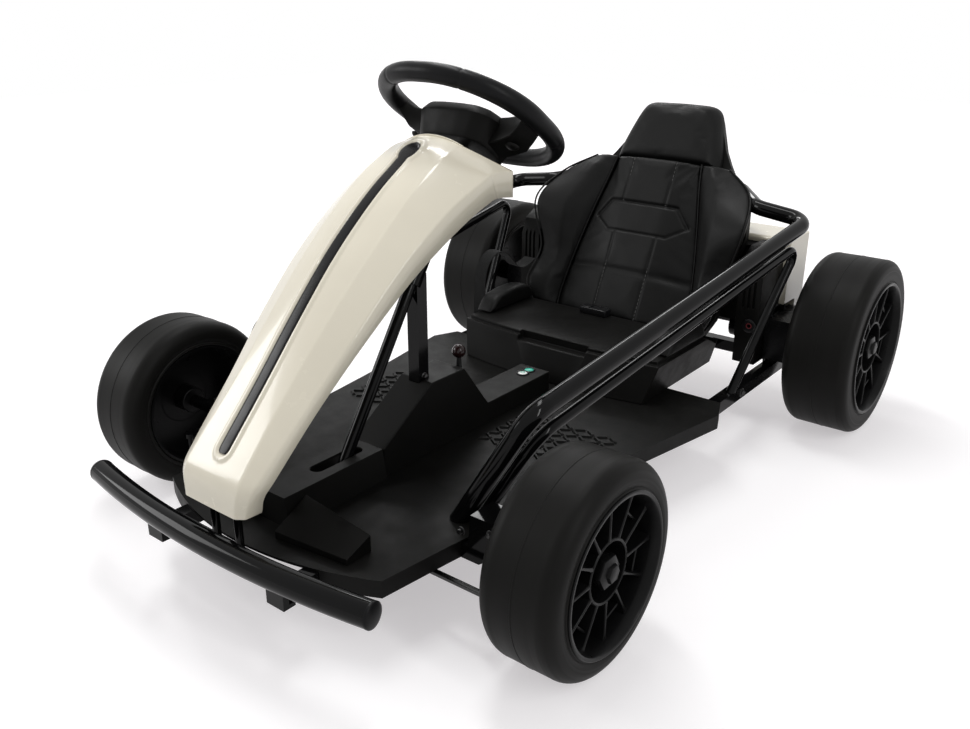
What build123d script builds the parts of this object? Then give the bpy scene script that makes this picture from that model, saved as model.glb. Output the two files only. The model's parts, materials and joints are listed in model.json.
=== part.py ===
from build123d import *
import os
from math import cos, radians, sin, tan

# Electric go-kart for children. Millimetres, +Z up, the front towards -Y, the driver's left towards +X.
# Origin on the ground, at the middle of the kart's length and width.

os.makedirs("parts", exist_ok=True)

# Wheels and track
wheelbase = 800.0
front_axle_y = -353.0
rear_axle_y = front_axle_y + wheelbase
front_tyre_r = 123.5
front_tyre_w = 96.0
front_shoulder_r = 19.0
front_tyre_wall = 29.7
front_rim_r = front_tyre_r - front_tyre_wall
front_wheel_x = 352.0
rear_tyre_r = 145.5
rear_tyre_w = 107.0
rear_shoulder_r = 16.0
rear_tyre_wall = 35.5
rear_rim_r = rear_tyre_r - rear_tyre_wall
rear_wheel_x = 359.0
rim_proud = 2.8
rim_wall = 3.5
rim_lip_w = 9.0
tyre_seat_gap = 0.3
spoke_count = 12
spoke_t = 3.6
spoke_face_inset = 13.0
dish_floor_x = 4.0
dish_floor_t = 4.0
hub_ring_t = 4.0
axle_r = 6.0
running_gap = 0.05
hub_r = 19.0
hub_inner_reach = 22.0
stub_end_inset = 12.0

# Floor pan and its raised channel
pan_top_z = 100.0
pan_wall = 3.0
pan_depth = 22.0
pan_nose_y = -535.0
pan_front_corner = (190.0, -490.0)
pan_front_side = (202.0, -392.0)
pan_mid_ahead = 490.0
pan_mid_side = (251.0, rear_axle_y - pan_mid_ahead)
pan_rear_side = (284.0, rear_axle_y - 312.0)
pan_rear_corner = (266.0, rear_axle_y - 267.0)
channel_top_z = 140.0
channel_top_half = 26.0
channel_foot_half = 33.0
channel_front_y = -482.0
channel_rear_y = -318.0
slot_front_y = -406.0
slot_rear_y = -342.0
slot_w = 20.0

# Chassis frame under the pan
rail_w = 20.0
rail_h = 20.0
rail_x = 110.0
frame_top_z = pan_top_z - pan_wall - 0.2
rail_rear_y = rear_axle_y + 31.0
outer_rail_x = 252.0
outer_rail_front_y = rear_axle_y - 279.0
rail_low_z = frame_top_z - rail_h
rail_in = rail_x - rail_w / 2
rail_out = rail_x + rail_w / 2
outer_rail_in = outer_rail_x - rail_w / 2
outer_rail_out = outer_rail_x + rail_w / 2
carrier_x = 240.0
carrier_t = 8.0
carrier_half_y = 26.0
carrier_top_z = rear_tyre_r + 46.5
post_y = -217.0
nose_post_x = 21.0
nose_post_y = -545.0
rail_front_y = nose_post_y - rail_w / 2
nose_post_r = 5.0

# Hump over the column's foot, and the console behind it
hump_half = 28.0
hump_top_z = 202.0
hump_slope_end_y = -222.0
hump_back_y = -153.0
hump_foot_y = -99.0
cover_wall = 3.0
console_top_z = 131.0
seat_base_ahead = 369.0
seat_base_foot_front_y = rear_axle_y - seat_base_ahead
console_rear_y = seat_base_foot_front_y - 20.0
button_r = 7.5
button_rise = 2.0
white_button_y = console_rear_y - 34.0
green_button_y = console_rear_y - 17.0
knob_r = 10.0
knob_y = -132.0
knob_z = 215.0

# Front bumper
bumper_r = 15.0
bumper_z = 118.0
bumper_half = 242.0
bumper_mid_y = -577.5
bumper_end_y = -556.0
bumper_bracket_x = 110.0
bumper_bracket_t = 5.0
cowl_foot_z = 157.0

# Front axle, knuckles and steering link
axle_beam_d = 40.0
beam_y0 = front_axle_y - axle_beam_d / 2
beam_y1 = front_axle_y + axle_beam_d / 2
kingpin_x = 275.0
kingpin_r = 5.0
bracket_in_x = 150.0
bracket_out_x = 250.0
bracket_low_z = 92.0
bracket_top_z = 138.0
ear_t = 5.0
ear_half_w = 14.0
knuckle_r = 12.0
knuckle_end_gap = 1.0
stub_r = 9.0
arm_len = 50.0
arm_half_w = 7.0
arm_z = 99.0
arm_t = 6.0
link_pin_r = 4.0
rod_z = 66.0
rod_r = 4.0
eye_r = 9.0
eye_h = 10.0
fork_gap = 2.0
fork_t = 4.0
crank_r = 22.5
crank_pin_r = 4.0

# Steering column
column_tilt = 33.0
column_y = -361.0
column_z = 131.0
shaft_r = 8.0
shaft_foot_s = -55.0
wheel_s = 482.0
grip_r = 12.4
grip_side = 112.0
grip_fore = 119.0
grip_rear = 114.0
grip_corner_r = 104.0
bearing_r = 13.0
bearing_len = 40.0
post_w = 19.0

# Side hoop
hoop_r = 12.5
lower_r = 7.5
lower_drop = 28.0
lower_foot = (184.0, -306.0, 96.0)
hoop_foot = (170.0, -337.0, 96.0)
hoop_front = (243.0, -296.0, 240.0)
seat_base_top_half = 190.0
hoop_rear = (seat_base_top_half + 102.0, rear_axle_y - 57.0, 351.0)
hoop_side = (seat_base_top_half + 14.0, rear_axle_y - 55.0, 362.0)
hoop_back = (seat_base_top_half - 48.0, rear_axle_y + 17.0, 373.0)
hoop_bend_r = 45.0
hoop_rear_bend_r = 31.0
hoop_back_bend_r = 26.0
tube_gap = 0.3
strut_foot = (outer_rail_x + 4.0, rear_axle_y - 211.0, 94.0)
strut_bend = (hoop_rear[0] - 4.0, rear_axle_y - 75.0, 316.0)
strut_bend_r = 16.0

# Seat
seat_base_foot_half = seat_base_top_half - 16.0
seat_base_foot_corner_y = seat_base_foot_front_y + 18.0
seat_base_top_front_y = seat_base_foot_front_y + 20.0
seat_base_top_corner_y = seat_base_foot_front_y + 36.0
seat_base_rear_y = seat_base_foot_front_y + 252.0
seat_base_top_z = 160.0
lid_t = 6.0
lid_inset = 6.0
notch_half = 66.0
notch_d = 10.0
battery_half = 76.0
battery_front_y = seat_base_foot_front_y + 46.0
battery_len = 130.0
battery_h = 50.0
back_foot_y = seat_base_foot_front_y + 209.0
back_foot_z = 150.0
back_tilt = 25.5
soft_gap = 0.3
pad_t = 26.0
wing_t = 16.0
shell_t = 14.0
headrest_t = 32.0
headrest_n = -20.0
belt_w = 26.0
belt_t = 2.0

# Rear
cover_inner_half = 205.0
cover_outer_half = 244.0
cover_front_y = rear_axle_y - 97.0
cover_rear_y = rear_axle_y - 14.0
cover_low_z = carrier_top_z - 42.0
cover_base_z = carrier_top_z + 0.2
cover_top_z = carrier_top_z + 108.0
flute_w = 4.0
flute_pitch = 9.0
fascia_half = 253.0
fascia_front_y = cover_rear_y + 0.3
fascia_rear_y = rear_axle_y + 85.0
fascia_top_z = carrier_top_z + 114.0
fascia_corner = 16.0
rear_axle_r = 7.0
drive_in_x = 246.0
drive_out_x = 300.0
drive_half_z = 36.0
drive_low_z = frame_top_z + 12.7
motor_y = rear_axle_y - 47.0
motor_r = 20.0
motor_in_x = 180.0
socket_x = cover_outer_half - 15.0
socket_z = carrier_top_z - 20.0
socket_toe = 4.0
socket_r = 12.0
socket_bore_r = 2.8
socket_bore_len = 9.5


def save(name, *solids):
    """Write one node from its solids."""
    export_step(Compound(children=list(solids)) if len(solids) > 1 else solids[0], f"parts/{name}.step")


def block(x0, x1, y0, y1, z0, z1):
    """A box between two corners."""
    return Pos((x0 + x1) / 2, (y0 + y1) / 2, (z0 + z1) / 2) * Box(x1 - x0, y1 - y0, z1 - z0)


def rod(start, end, radius):
    """A round bar between two points."""
    a, b = Vector(*start), Vector(*end)
    axis = b - a
    return Plane(origin=a, z_dir=axis) * Cylinder(
        radius, axis.length, align=(Align.CENTER, Align.CENTER, Align.MIN)
    )


def side_profile(points, half):
    """A closed outline in the YZ plane, carried from -half to +half along X."""
    face = make_face(Polyline(*[(0, y, z) for y, z in points], close=True))
    return Pos(-half, 0, 0) * extrude(face, amount=2 * half, dir=(1, 0, 0))


def plan_prism(points, z0, z1):
    """A closed outline seen from above, carried from z0 to z1."""
    face = make_face(Polyline(*[(x, y, z0) for x, y in points], close=True))
    return extrude(face, amount=z1 - z0, dir=(0, 0, 1))


def mirrored(solid):
    """The same piece on the other side of the kart."""
    return mirror(solid, about=Plane.YZ)


def tube_path(points, radius, bends):
    """A round tube along straight runs joined by arcs; bends holds one radius for each inner corner."""
    path = FilletPolyline(*points, radius=bends) if len(points) > 2 else Line(*points)
    start = Plane(origin=path @ 0, z_dir=path % 0)
    return sweep(start * Circle(radius), path=path)


def ring(axis_x0, axis_x1, r0, r1):
    """A ring about X between two stations and two radii."""
    face = make_face(
        Polyline((axis_x0, r0, 0), (axis_x1, r0, 0), (axis_x1, r1, 0), (axis_x0, r1, 0), close=True)
    )
    return revolve(face, axis=Axis.X)


# A wheel is drawn with its centre at the origin and its outer face towards +X


def tyre(radius, width, shoulder, rim_r):
    bore = rim_r - rim_lip_w / 2 + tyre_seat_gap
    half = width / 2
    corner_r = min(shoulder, (radius - bore) * 0.8)
    outline = FilletPolyline(
        (-half, bore, 0), (-half, radius, 0), (half, radius, 0), (half, bore, 0), radius=corner_r
    )
    face = make_face([outline, Line((half, bore, 0), (-half, bore, 0))])
    return revolve(face, axis=Axis.X)


def rim(width, rim_r, bore_r):
    barrel_r = rim_r - rim_lip_w / 2
    inner_r = barrel_r - rim_wall
    face_x = width / 2 + rim_proud
    lip_back = width / 2 + tyre_seat_gap
    dish_top = dish_floor_x + dish_floor_t
    spoke_x = face_x - spoke_face_inset
    ring_r = rim_r * 0.36
    body = ring(-width / 2, face_x, inner_r, barrel_r)
    body += ring(lip_back, face_x, inner_r, rim_r)
    body += ring(dish_floor_x, dish_top, bore_r, inner_r + 1)
    body += ring(dish_top - 1, spoke_x, ring_r, ring_r + hub_ring_t)
    body += ring(-hub_inner_reach, face_x - stub_end_inset, bore_r, hub_r)
    body += ring(-8, dish_floor_x + 1, rim_r * 0.5, rim_r * 0.5 + 3)
    for i in range(spoke_count):
        fin = block(dish_top - 1, spoke_x, -spoke_t / 2, spoke_t / 2, ring_r + 1, inner_r + 1)
        body += Rot(360 / spoke_count * i, 0, 0) * fin
    for i in range(spoke_count // 2):
        reach = rim_r * 0.7
        half_bay = reach * tan(radians(180 / spoke_count)) + 0.5
        tie = block(dish_top - 1, spoke_x - 4, -half_bay, half_bay, reach - 1.6, reach + 1.6)
        body += Rot(360 / spoke_count * (2 * i + 0.5), 0, 0) * tie
    cap = Pos(face_x - stub_end_inset, 0, 0) * Rot(0, 90, 0) * Cone(
        hub_r, hub_r * 0.6, 8, align=(Align.CENTER, Align.CENTER, Align.MIN)
    )
    nut = extrude(Plane.YZ.offset(face_x - stub_end_inset + 7) * RegularPolygon(hub_r * 0.55, 6), amount=4)
    return body + cap + nut


def wheel_pieces(side, x, y, radius, width, shoulder, rim_r, bore_r):
    """The tyre and the rim of one wheel, set at its place; side is +1 on the driver's left."""
    place = Pos(side * x, y, radius) * Rot(0, 0, 0 if side > 0 else 180)
    return place * tyre(radius, width, shoulder, rim_r), place * rim(width, rim_r, bore_r)


wheel_corners = (("front", "left", 1), ("front", "right", -1), ("rear", "left", 1), ("rear", "right", -1))
for end, side_name, side in wheel_corners:
    if end == "front":
        sizes = (front_wheel_x, front_axle_y, front_tyre_r, front_tyre_w, front_shoulder_r, front_rim_r)
        bore = axle_r + running_gap
    else:
        sizes = (rear_wheel_x, rear_axle_y, rear_tyre_r, rear_tyre_w, rear_shoulder_r, rear_rim_r)
        bore = rear_axle_r + running_gap
    tyre_solid, rim_solid = wheel_pieces(side, *sizes, bore)
    save(f"tyre_{end}_{side_name}", tyre_solid)
    save(f"rim_{end}_{side_name}", rim_solid)


# Floor pan: a tray turned over, with a raised channel over the column's foot


def pan_outline(inset, z):
    """The pan's edge, drawn inwards by inset, as an arc at the front and straight sides."""
    fx, fy = pan_front_corner[0] - inset, pan_front_corner[1] + inset
    sides = [
        (pan_front_side[0] - inset, pan_front_side[1]),
        (pan_mid_side[0] - inset, pan_mid_side[1]),
        (pan_rear_side[0] - inset, pan_rear_side[1]),
        (pan_rear_corner[0] - inset, pan_rear_corner[1] - inset),
    ]
    front = ThreePointArc((-fx, fy, z), (0, pan_nose_y + inset, z), (fx, fy, z))
    right = [(-x, y, z) for x, y in reversed(sides)]
    left = [(x, y, z) for x, y in sides]
    rest = Polyline((fx, fy, z), *left, *right, (-fx, fy, z))
    return make_face([front, rest])


def channel_section(top_half, foot_half, top, y):
    """The channel's section across the kart at one station."""
    foot = pan_top_z - pan_wall - 0.5
    half = [(foot_half, y, foot), (top_half, y, top)]
    return make_face(Polyline(*[(-x, y, z) for x, y, z in half], *reversed(half), close=True))


pan_low_z = pan_top_z - pan_depth
pan = extrude(pan_outline(0, pan_low_z), amount=pan_depth, dir=(0, 0, 1))
pan -= extrude(pan_outline(pan_wall, pan_low_z - 1), amount=pan_depth + 1 - pan_wall, dir=(0, 0, 1))
channel_len = channel_rear_y - channel_front_y
pan += extrude(
    channel_section(channel_top_half, channel_foot_half, channel_top_z, channel_front_y),
    amount=channel_len,
    dir=(0, 1, 0),
)
pan -= extrude(
    channel_section(
        channel_top_half - pan_wall,
        channel_foot_half - pan_wall,
        channel_top_z - pan_wall,
        channel_front_y + pan_wall,
    ),
    amount=channel_len - pan_wall,
    dir=(0, 1, 0),
)
slot_len = slot_rear_y - slot_front_y
slot = Pos(0, (slot_front_y + slot_rear_y) / 2, channel_top_z) * extrude(
    Rot(0, 0, 90) * SlotOverall(slot_len + slot_w, slot_w), amount=20, both=True
)
pan -= slot
pan -= block(-300, 300, beam_y0 - soft_gap, beam_y1 + soft_gap, pan_low_z - 1, frame_top_z + 0.1)
pan -= block(-rail_out - 1, rail_out + 1, pan_nose_y - 1, pan_nose_y + 40, pan_low_z - 1, frame_top_z + 0.1)
pan -= block(-300, 300, outer_rail_front_y - 3, pan_rear_corner[1] + 20, pan_low_z - 1, frame_top_z + 0.1)
post_room = post_w / 2 + 1
pan -= block(-post_room, post_room, post_y - post_room, post_y + post_room, pan_low_z, pan_top_z + 1)
save("floor_pan", pan)

# Sloped stops for the feet on both sides of the channel, each ahead of the heel space
stop_inner_x = channel_foot_half + 0.5
stop_outer_x = 140.0
stop_rear_y = -455.0
stop_front_y = -505.0
stop = Solid.make_loft(
    [
        Wire.make_polygon(
            [
                (stop_inner_x, stop_front_y, pan_top_z),
                (stop_inner_x, stop_rear_y, pan_top_z),
                (stop_inner_x, stop_rear_y, pan_top_z + 36),
                (stop_inner_x, stop_front_y, pan_top_z + 10),
            ]
        ),
        Wire.make_polygon(
            [
                (stop_outer_x, stop_front_y + 12, pan_top_z),
                (stop_outer_x, stop_rear_y, pan_top_z),
                (stop_outer_x, stop_rear_y, pan_top_z + 22),
                (stop_outer_x, stop_front_y + 12, pan_top_z + 8),
            ]
        ),
    ],
    ruled=True,
)
save("foot_stops", stop, mirrored(stop))

# Chassis frame: two long rails, two outer rails at the rear, cross members, axle carriers and front plates
cross_rows = (
    # y, half length
    (nose_post_y, rail_in),
    (post_y, rail_in),
    (seat_base_foot_front_y - 38.0, rail_in),
    (outer_rail_front_y + rail_w / 2, outer_rail_in),
    (rail_rear_y - rail_w / 2, outer_rail_in),
)
frame_left = block(rail_in, rail_out, rail_front_y, rail_rear_y, rail_low_z, frame_top_z)
frame_left += block(outer_rail_in, outer_rail_out, outer_rail_front_y, rail_rear_y, rail_low_z, frame_top_z)
frame_left += block(
    carrier_x - carrier_t,
    carrier_x,
    rear_axle_y - carrier_half_y,
    rear_axle_y + carrier_half_y,
    rail_low_z,
    carrier_top_z,
)
frame_left += rod(
    (nose_post_x, nose_post_y, frame_top_z - 1), (nose_post_x, nose_post_y, cowl_foot_z - 0.1), nose_post_r
)
frame = frame_left + mirrored(frame_left)
for y, half in cross_rows:
    frame += block(-half, half, y - rail_w / 2, y + rail_w / 2, rail_low_z, frame_top_z)
frame -= rod((-300, rear_axle_y, rear_tyre_r), (300, rear_axle_y, rear_tyre_r), rear_axle_r + running_gap)
frame -= block(-300, 300, beam_y0, beam_y1, rail_low_z - 1, frame_top_z + 1)
save("chassis_frame", frame)

# Front axle: a beam under the pan, with a raised bracket at each end and the kingpin in its ears
bracket_outline = [
    (0, rail_low_z),
    (bracket_out_x - 20, rail_low_z),
    (bracket_out_x, bracket_low_z),
    (bracket_out_x, bracket_top_z),
    (bracket_out_x - 32, bracket_top_z),
    (bracket_out_x - 36, frame_top_z - 0.5),
    (0, frame_top_z - 0.5),
]
bracket_face = make_face(Polyline(*[(x, beam_y0, z) for x, z in bracket_outline], close=True))
bracket = extrude(bracket_face, amount=axle_beam_d, dir=(0, 1, 0))
for z0 in (bracket_low_z, bracket_top_z - ear_t):
    bracket += block(
        bracket_out_x - 1, kingpin_x, front_axle_y - ear_half_w, front_axle_y + ear_half_w, z0, z0 + ear_t
    )
    bracket += Pos(kingpin_x, front_axle_y, z0) * Cylinder(
        ear_half_w, ear_t, align=(Align.CENTER, Align.CENTER, Align.MIN)
    )
bracket += rod(
    (kingpin_x, front_axle_y, bracket_low_z - 4), (kingpin_x, front_axle_y, bracket_top_z + 6), kingpin_r
)
save("front_axle", bracket + mirrored(bracket))

# Steering knuckle: barrel on the kingpin, stub axle into the wheel, arm forward to the track rod
barrel_z0 = bracket_low_z + ear_t + knuckle_end_gap
barrel_z1 = bracket_top_z - ear_t - knuckle_end_gap
wheel_z = front_tyre_r
stub_shoulder_x = front_wheel_x - hub_inner_reach - 1
stub_end_x = front_wheel_x + front_tyre_w / 2 + rim_proud - stub_end_inset - 1
arm_y = front_axle_y - arm_len


def knuckle(eye_gap):
    """One knuckle on the driver's left."""
    body = rod((kingpin_x, front_axle_y, barrel_z0), (kingpin_x, front_axle_y, barrel_z1), knuckle_r)
    body += rod((kingpin_x, front_axle_y, wheel_z), (stub_shoulder_x, front_axle_y, wheel_z), stub_r)
    body += rod((kingpin_x, front_axle_y, wheel_z), (stub_end_x, front_axle_y, wheel_z), axle_r)
    body += block(kingpin_x - arm_half_w, kingpin_x + arm_half_w, arm_y, front_axle_y, arm_z, arm_z + arm_t)
    body += rod((kingpin_x, arm_y, arm_z), (kingpin_x, arm_y, arm_z + arm_t), arm_half_w)
    body += rod((kingpin_x, arm_y, rod_z - eye_h), (kingpin_x, arm_y, arm_z + 1), link_pin_r)
    pin_foot = (kingpin_x, front_axle_y, bracket_low_z)
    pin_top = (kingpin_x, front_axle_y, bracket_top_z)
    body -= rod(pin_foot, pin_top, kingpin_r + eye_gap)
    return body


knuckle_left = knuckle(running_gap)
save("knuckle_left", knuckle_left)
save("knuckle_right", mirrored(knuckle_left))

# Track rod with an eye at each end and a fork for the column's crank pin
tilt = radians(column_tilt)
along = (sin(tilt), cos(tilt))
crank_dir = (-cos(tilt), sin(tilt))
foot_y = column_y + shaft_foot_s * along[0]
foot_z = column_z + shaft_foot_s * along[1]
tip_y = foot_y + crank_r * crank_dir[0]
tip_z = foot_z + crank_r * crank_dir[1]
pin_low_z = rod_z - 2
pin_low_y = tip_y - (tip_z - pin_low_z) * along[0] / along[1]
track_rod = rod((-kingpin_x, arm_y, rod_z), (kingpin_x, arm_y, rod_z), rod_r)
for side in (-1, 1):
    track_rod += Pos(side * kingpin_x, arm_y, rod_z) * Cylinder(eye_r, eye_h)
    eye_bore = link_pin_r + (running_gap if side > 0 else tyre_seat_gap)
    track_rod -= Pos(side * kingpin_x, arm_y, rod_z) * Cylinder(eye_bore, 3 * eye_h)
    ear_x = side * (crank_pin_r + fork_gap + fork_t / 2)
    track_rod += block(
        ear_x - fork_t / 2, ear_x + fork_t / 2, pin_low_y - 14, arm_y + 2, rod_z - 3, rod_z + 8
    )
save("track_rod", track_rod)

# Steering column: shaft with the crank at its foot, ring, hub and spokes
ring_y = column_y + wheel_s * along[0]
ring_z = column_z + wheel_s * along[1]


def on_column(s):
    """A plane square to the column at distance s along it, its y direction pointing rearwards and down."""
    return Plane(
        origin=(0, column_y + s * along[0], column_z + s * along[1]),
        x_dir=(1, 0, 0),
        z_dir=(0, along[0], along[1]),
    )


shaft_top_s = wheel_s - 20
shaft = on_column(shaft_foot_s) * Cylinder(
    shaft_r, shaft_top_s - shaft_foot_s, align=(Align.CENTER, Align.CENTER, Align.MIN)
)
shaft += on_column(shaft_foot_s) * Pos(0, -crank_r / 2, 3) * Box(12, crank_r, 6)
shaft += on_column(shaft_foot_s) * Pos(0, -crank_r, 3) * Cylinder(6, 6)
shaft += rod((0, pin_low_y, pin_low_z), (0, tip_y, tip_z), crank_pin_r)
save("steering_shaft", shaft)
ring_shape = RectangleRounded(2 * grip_side, grip_fore + grip_rear, grip_corner_r)
ring_line = (Pos(0, (grip_rear - grip_fore) / 2) * ring_shape).face().outer_wire()
ring_start = Plane(origin=ring_line @ 0, z_dir=ring_line % 0)
grip = on_column(wheel_s) * sweep(ring_start * Circle(grip_r), path=ring_line)
save("steering_ring", grip)
hub_outline = [(17, -52), (42, -49), (58, -38), (64, -16), (58, 24), (44, 50), (22, 58)]
hub_outline += [(-x, y) for x, y in reversed(hub_outline)]
hub_levels = (
    # s from the ring's plane, share of the outline
    (-46.0, 0.85),
    (-14.0, 1.0),
    (-1.5, 0.9),
)
spoke_sections = (
    # x, front and rear y, lower and upper s of a spoke's section
    (50.0, -20.0, 24.0, -42.0, -4.0),
    (86.0, -22.0, 24.0, -30.0, 0.0),
    (106.0, -32.0, 8.0, -10.0, 6.0),
)
hub_wires = [
    Wire.make_polygon([(x * share, y * share, s) for x, y in hub_outline]) for s, share in hub_levels
]
hub = Solid.make_loft(hub_wires, ruled=True)
for side in (-1, 1):
    spoke_wires = [
        Wire.make_polygon([(side * x, y0, s0), (side * x, y1, s0), (side * x, y1, s1), (side * x, y0, s1)])
        for x, y0, y1, s0, s1 in spoke_sections
    ]
    hub += Solid.make_loft(spoke_wires, ruled=True)
hub = on_column(wheel_s) * hub
hub -= grip
hub -= on_column(shaft_foot_s) * Cylinder(
    shaft_r, shaft_top_s - shaft_foot_s, align=(Align.CENTER, Align.CENTER, Align.MIN)
)
save("steering_hub", hub)

# Support post on the frame, with the column's bearing at its top
bearing_s = (post_y - column_y) / along[0]
post_half = post_w / 2
bearing_z = column_z + bearing_s * along[1]
post = block(-post_half, post_half, post_y - post_half, post_y + post_half, frame_top_z, bearing_z - 4)
post -= on_column(shaft_foot_s) * Cylinder(
    shaft_r + 1, 2 * bearing_s, align=(Align.CENTER, Align.CENTER, Align.MIN)
)
bearing_bore = Cylinder(shaft_r + running_gap, bearing_len + 2)
bearing = on_column(bearing_s) * (Cylinder(bearing_r, bearing_len) - bearing_bore)
post += bearing

# Hump and console: thin covers, open below
hump_line = [
    (channel_rear_y + 0.5, pan_top_z),
    (channel_rear_y + 0.5, channel_top_z),
    (hump_slope_end_y, hump_top_z),
    (hump_back_y, hump_top_z),
    (hump_foot_y, console_top_z),
    (hump_foot_y, pan_top_z),
]
hump_inner = [
    (channel_rear_y + 0.5 + cover_wall, pan_top_z - 1),
    (channel_rear_y + 0.5 + cover_wall, channel_top_z - cover_wall + 1),
    (hump_slope_end_y + 2, hump_top_z - cover_wall),
    (hump_back_y - 2, hump_top_z - cover_wall),
    (hump_foot_y - cover_wall, console_top_z - cover_wall),
    (hump_foot_y - cover_wall, pan_top_z - 1),
]
hump = side_profile(hump_line, hump_half) - side_profile(hump_inner, hump_half - cover_wall)
post_slot = post_half + soft_gap
hump -= block(-post_slot, post_slot, post_y - post_slot, post_y + post_slot, 150, 260)
console = block(-hump_half, hump_half, hump_foot_y - 0.5, console_rear_y, pan_top_z, console_top_z)
console -= block(
    -hump_half + cover_wall,
    hump_half - cover_wall,
    hump_foot_y - 4,
    console_rear_y - cover_wall,
    pan_top_z - 1,
    console_top_z - cover_wall,
)
save("centre_console", hump + console)
buttons = [
    rod((0, y, console_top_z), (0, y, console_top_z + button_rise), button_r)
    for y in (white_button_y, green_button_y)
]
save("power_buttons", *buttons)
slope = (hump_top_z - console_top_z) / (hump_foot_y - hump_back_y)
stem_foot_z = hump_top_z - slope * (knob_y - 3 - hump_back_y)
lever = Pos(0, knob_y, knob_z) * Sphere(knob_r) + rod((0, knob_y, stem_foot_z + 1), (0, knob_y, knob_z), 3)
save("selector_lever", lever)

# Front bumper: a bowed tube with plates that carry it
bumper_ends = [(side * bumper_half, bumper_end_y, bumper_z) for side in (-1, 1)]
bumper_path = ThreePointArc(bumper_ends[0], (0, bumper_mid_y, bumper_z), bumper_ends[1])
bumper = sweep(Plane(origin=bumper_path @ 0, z_dir=bumper_path % 0) * Circle(bumper_r), path=bumper_path)
plate_in = bumper_bracket_x - 14
plate_out = bumper_bracket_x + 14
plate_y = bumper_mid_y + 6
bumper_plate = block(plate_in, plate_out, plate_y, rail_front_y, rail_low_z, rail_low_z + bumper_bracket_t)
bumper_plate += block(plate_in, plate_out, plate_y, plate_y + 8, rail_low_z, bumper_z)
save("front_bumper", bumper + bumper_plate + mirrored(bumper_plate))

# Nose cowl: a shell with a flat top, broad chamfers, short side walls and an open underside
cowl_wall = 3.5
cowl_lip_half = 8.0
cowl_sections = (
    # y, z and slope of the ridge, then half width and depth of the flat, the shoulder and the foot
    (-565.0, 157.0, 90.0, 44.0, 0.0, 54.0, 7.0, 56.0, 28.0),
    (-561.0, 188.0, 68.0, 47.0, 0.0, 60.0, 8.0, 64.0, 25.0),
    (-541.0, 214.0, 52.0, 46.0, 0.0, 64.0, 10.0, 70.0, 23.0),
    (-480.0, 277.0, 46.0, 43.0, 0.0, 71.0, 13.0, 76.0, 24.0),
    (-415.0, 345.0, 45.0, 46.0, 0.0, 80.0, 16.0, 85.0, 30.0),
    (-347.0, 411.0, 43.0, 50.0, 1.0, 86.0, 20.0, 90.0, 42.0),
    (-276.0, 470.0, 35.0, 50.0, 2.0, 91.0, 28.0, 95.0, 56.0),
    (-219.0, 505.0, 26.0, 48.0, 4.0, 96.0, 34.0, 98.0, 64.0),
    (-187.0, 519.0, 16.0, 46.0, 8.0, 97.0, 37.0, 98.0, 70.0),
    (-141.0, 523.0, 4.0, 46.0, 10.0, 98.0, 41.0, 98.0, 75.0),
)
cowl_rear_edge = ((0.0, -184.0), (46.0, -178.0), (70.0, -168.0), (92.0, -147.0), (98.0, -139.0))


def cowl_section(y, z, slope, flat, flat_d, shoulder, shoulder_d, foot, foot_d, inset=0.0, drop=0.0):
    """A section of the cowl, square to the ridge, drawn in by inset and its open side lowered by drop."""
    rise = radians(slope)
    plane = Plane(origin=(0, y, z), x_dir=(1, 0, 0), z_dir=(0, cos(rise), sin(rise)))
    half_line = [
        (cowl_lip_half, inset),
        (flat - inset * 0.5, flat_d + inset),
        (shoulder - inset, shoulder_d + inset * 0.6),
        (foot - inset, foot_d + drop),
    ]
    outline = [(-x, d) for x, d in reversed(half_line)] + half_line
    return plane * make_face(Polyline(*[(x, d, 0) for x, d in outline], close=True))


cowl_outer = loft([cowl_section(*row) for row in cowl_sections], ruled=True)
first = cowl_sections[0]
last = cowl_sections[-1]
last_rise = radians(last[2])
inner_rows = [(first[0], first[1] + cowl_wall, *first[2:])]
inner_rows += list(cowl_sections[1:-1])
inner_rows += [(last[0] + 2 * cos(last_rise), last[1] + 2 * sin(last_rise), *last[2:])]
cowl_inner = loft([cowl_section(*row, cowl_wall, 14) for row in inner_rows], ruled=True)
cowl = cowl_outer - cowl_inner
rear_cut = [(x, y) for x, y in cowl_rear_edge] + [(last[5] + 2, last[0] + 20), (-last[5] - 2, last[0] + 20)]
rear_cut += [(-x, y) for x, y in reversed(cowl_rear_edge[1:])]
cowl -= plan_prism(rear_cut, cowl_foot_z, last[1] + 20)

# Dark strip let into the cowl's ridge
strip_half = 7.0
strip_depth = 1.8
strip_rows = cowl_sections[2:-2]
strip_end = (-206.0, 510.7, 23.0)
strip_line = [row[:3] for row in strip_rows] + [strip_end]
strip_pad_y = -222.5
strip_pad_half = 13.0
strip_pad_len = 31.0


def ridge_band(low, high, half):
    """A band along the ridge between two heights above it."""
    points = []
    for y, z, slope in strip_line:
        rise = radians(slope)
        points.append((y - sin(rise) * low, z + cos(rise) * low))
    for y, z, slope in reversed(strip_line):
        rise = radians(slope)
        points.append((y - sin(rise) * high, z + cos(rise) * high))
    return side_profile(points, half)


def strip_plan(grow):
    """The strip seen from above: a long slot that ends in an oval, carried up through the cowl."""
    rise = strip_end[1]
    slot = block(-strip_half - grow, strip_half + grow, cowl_sections[0][0], strip_pad_y, 0, rise)
    oval = extrude(Ellipse(strip_pad_half + grow, strip_pad_len / 2 + grow), amount=2 * rise)
    return slot + Pos(0, strip_pad_y, 0) * oval


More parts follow.
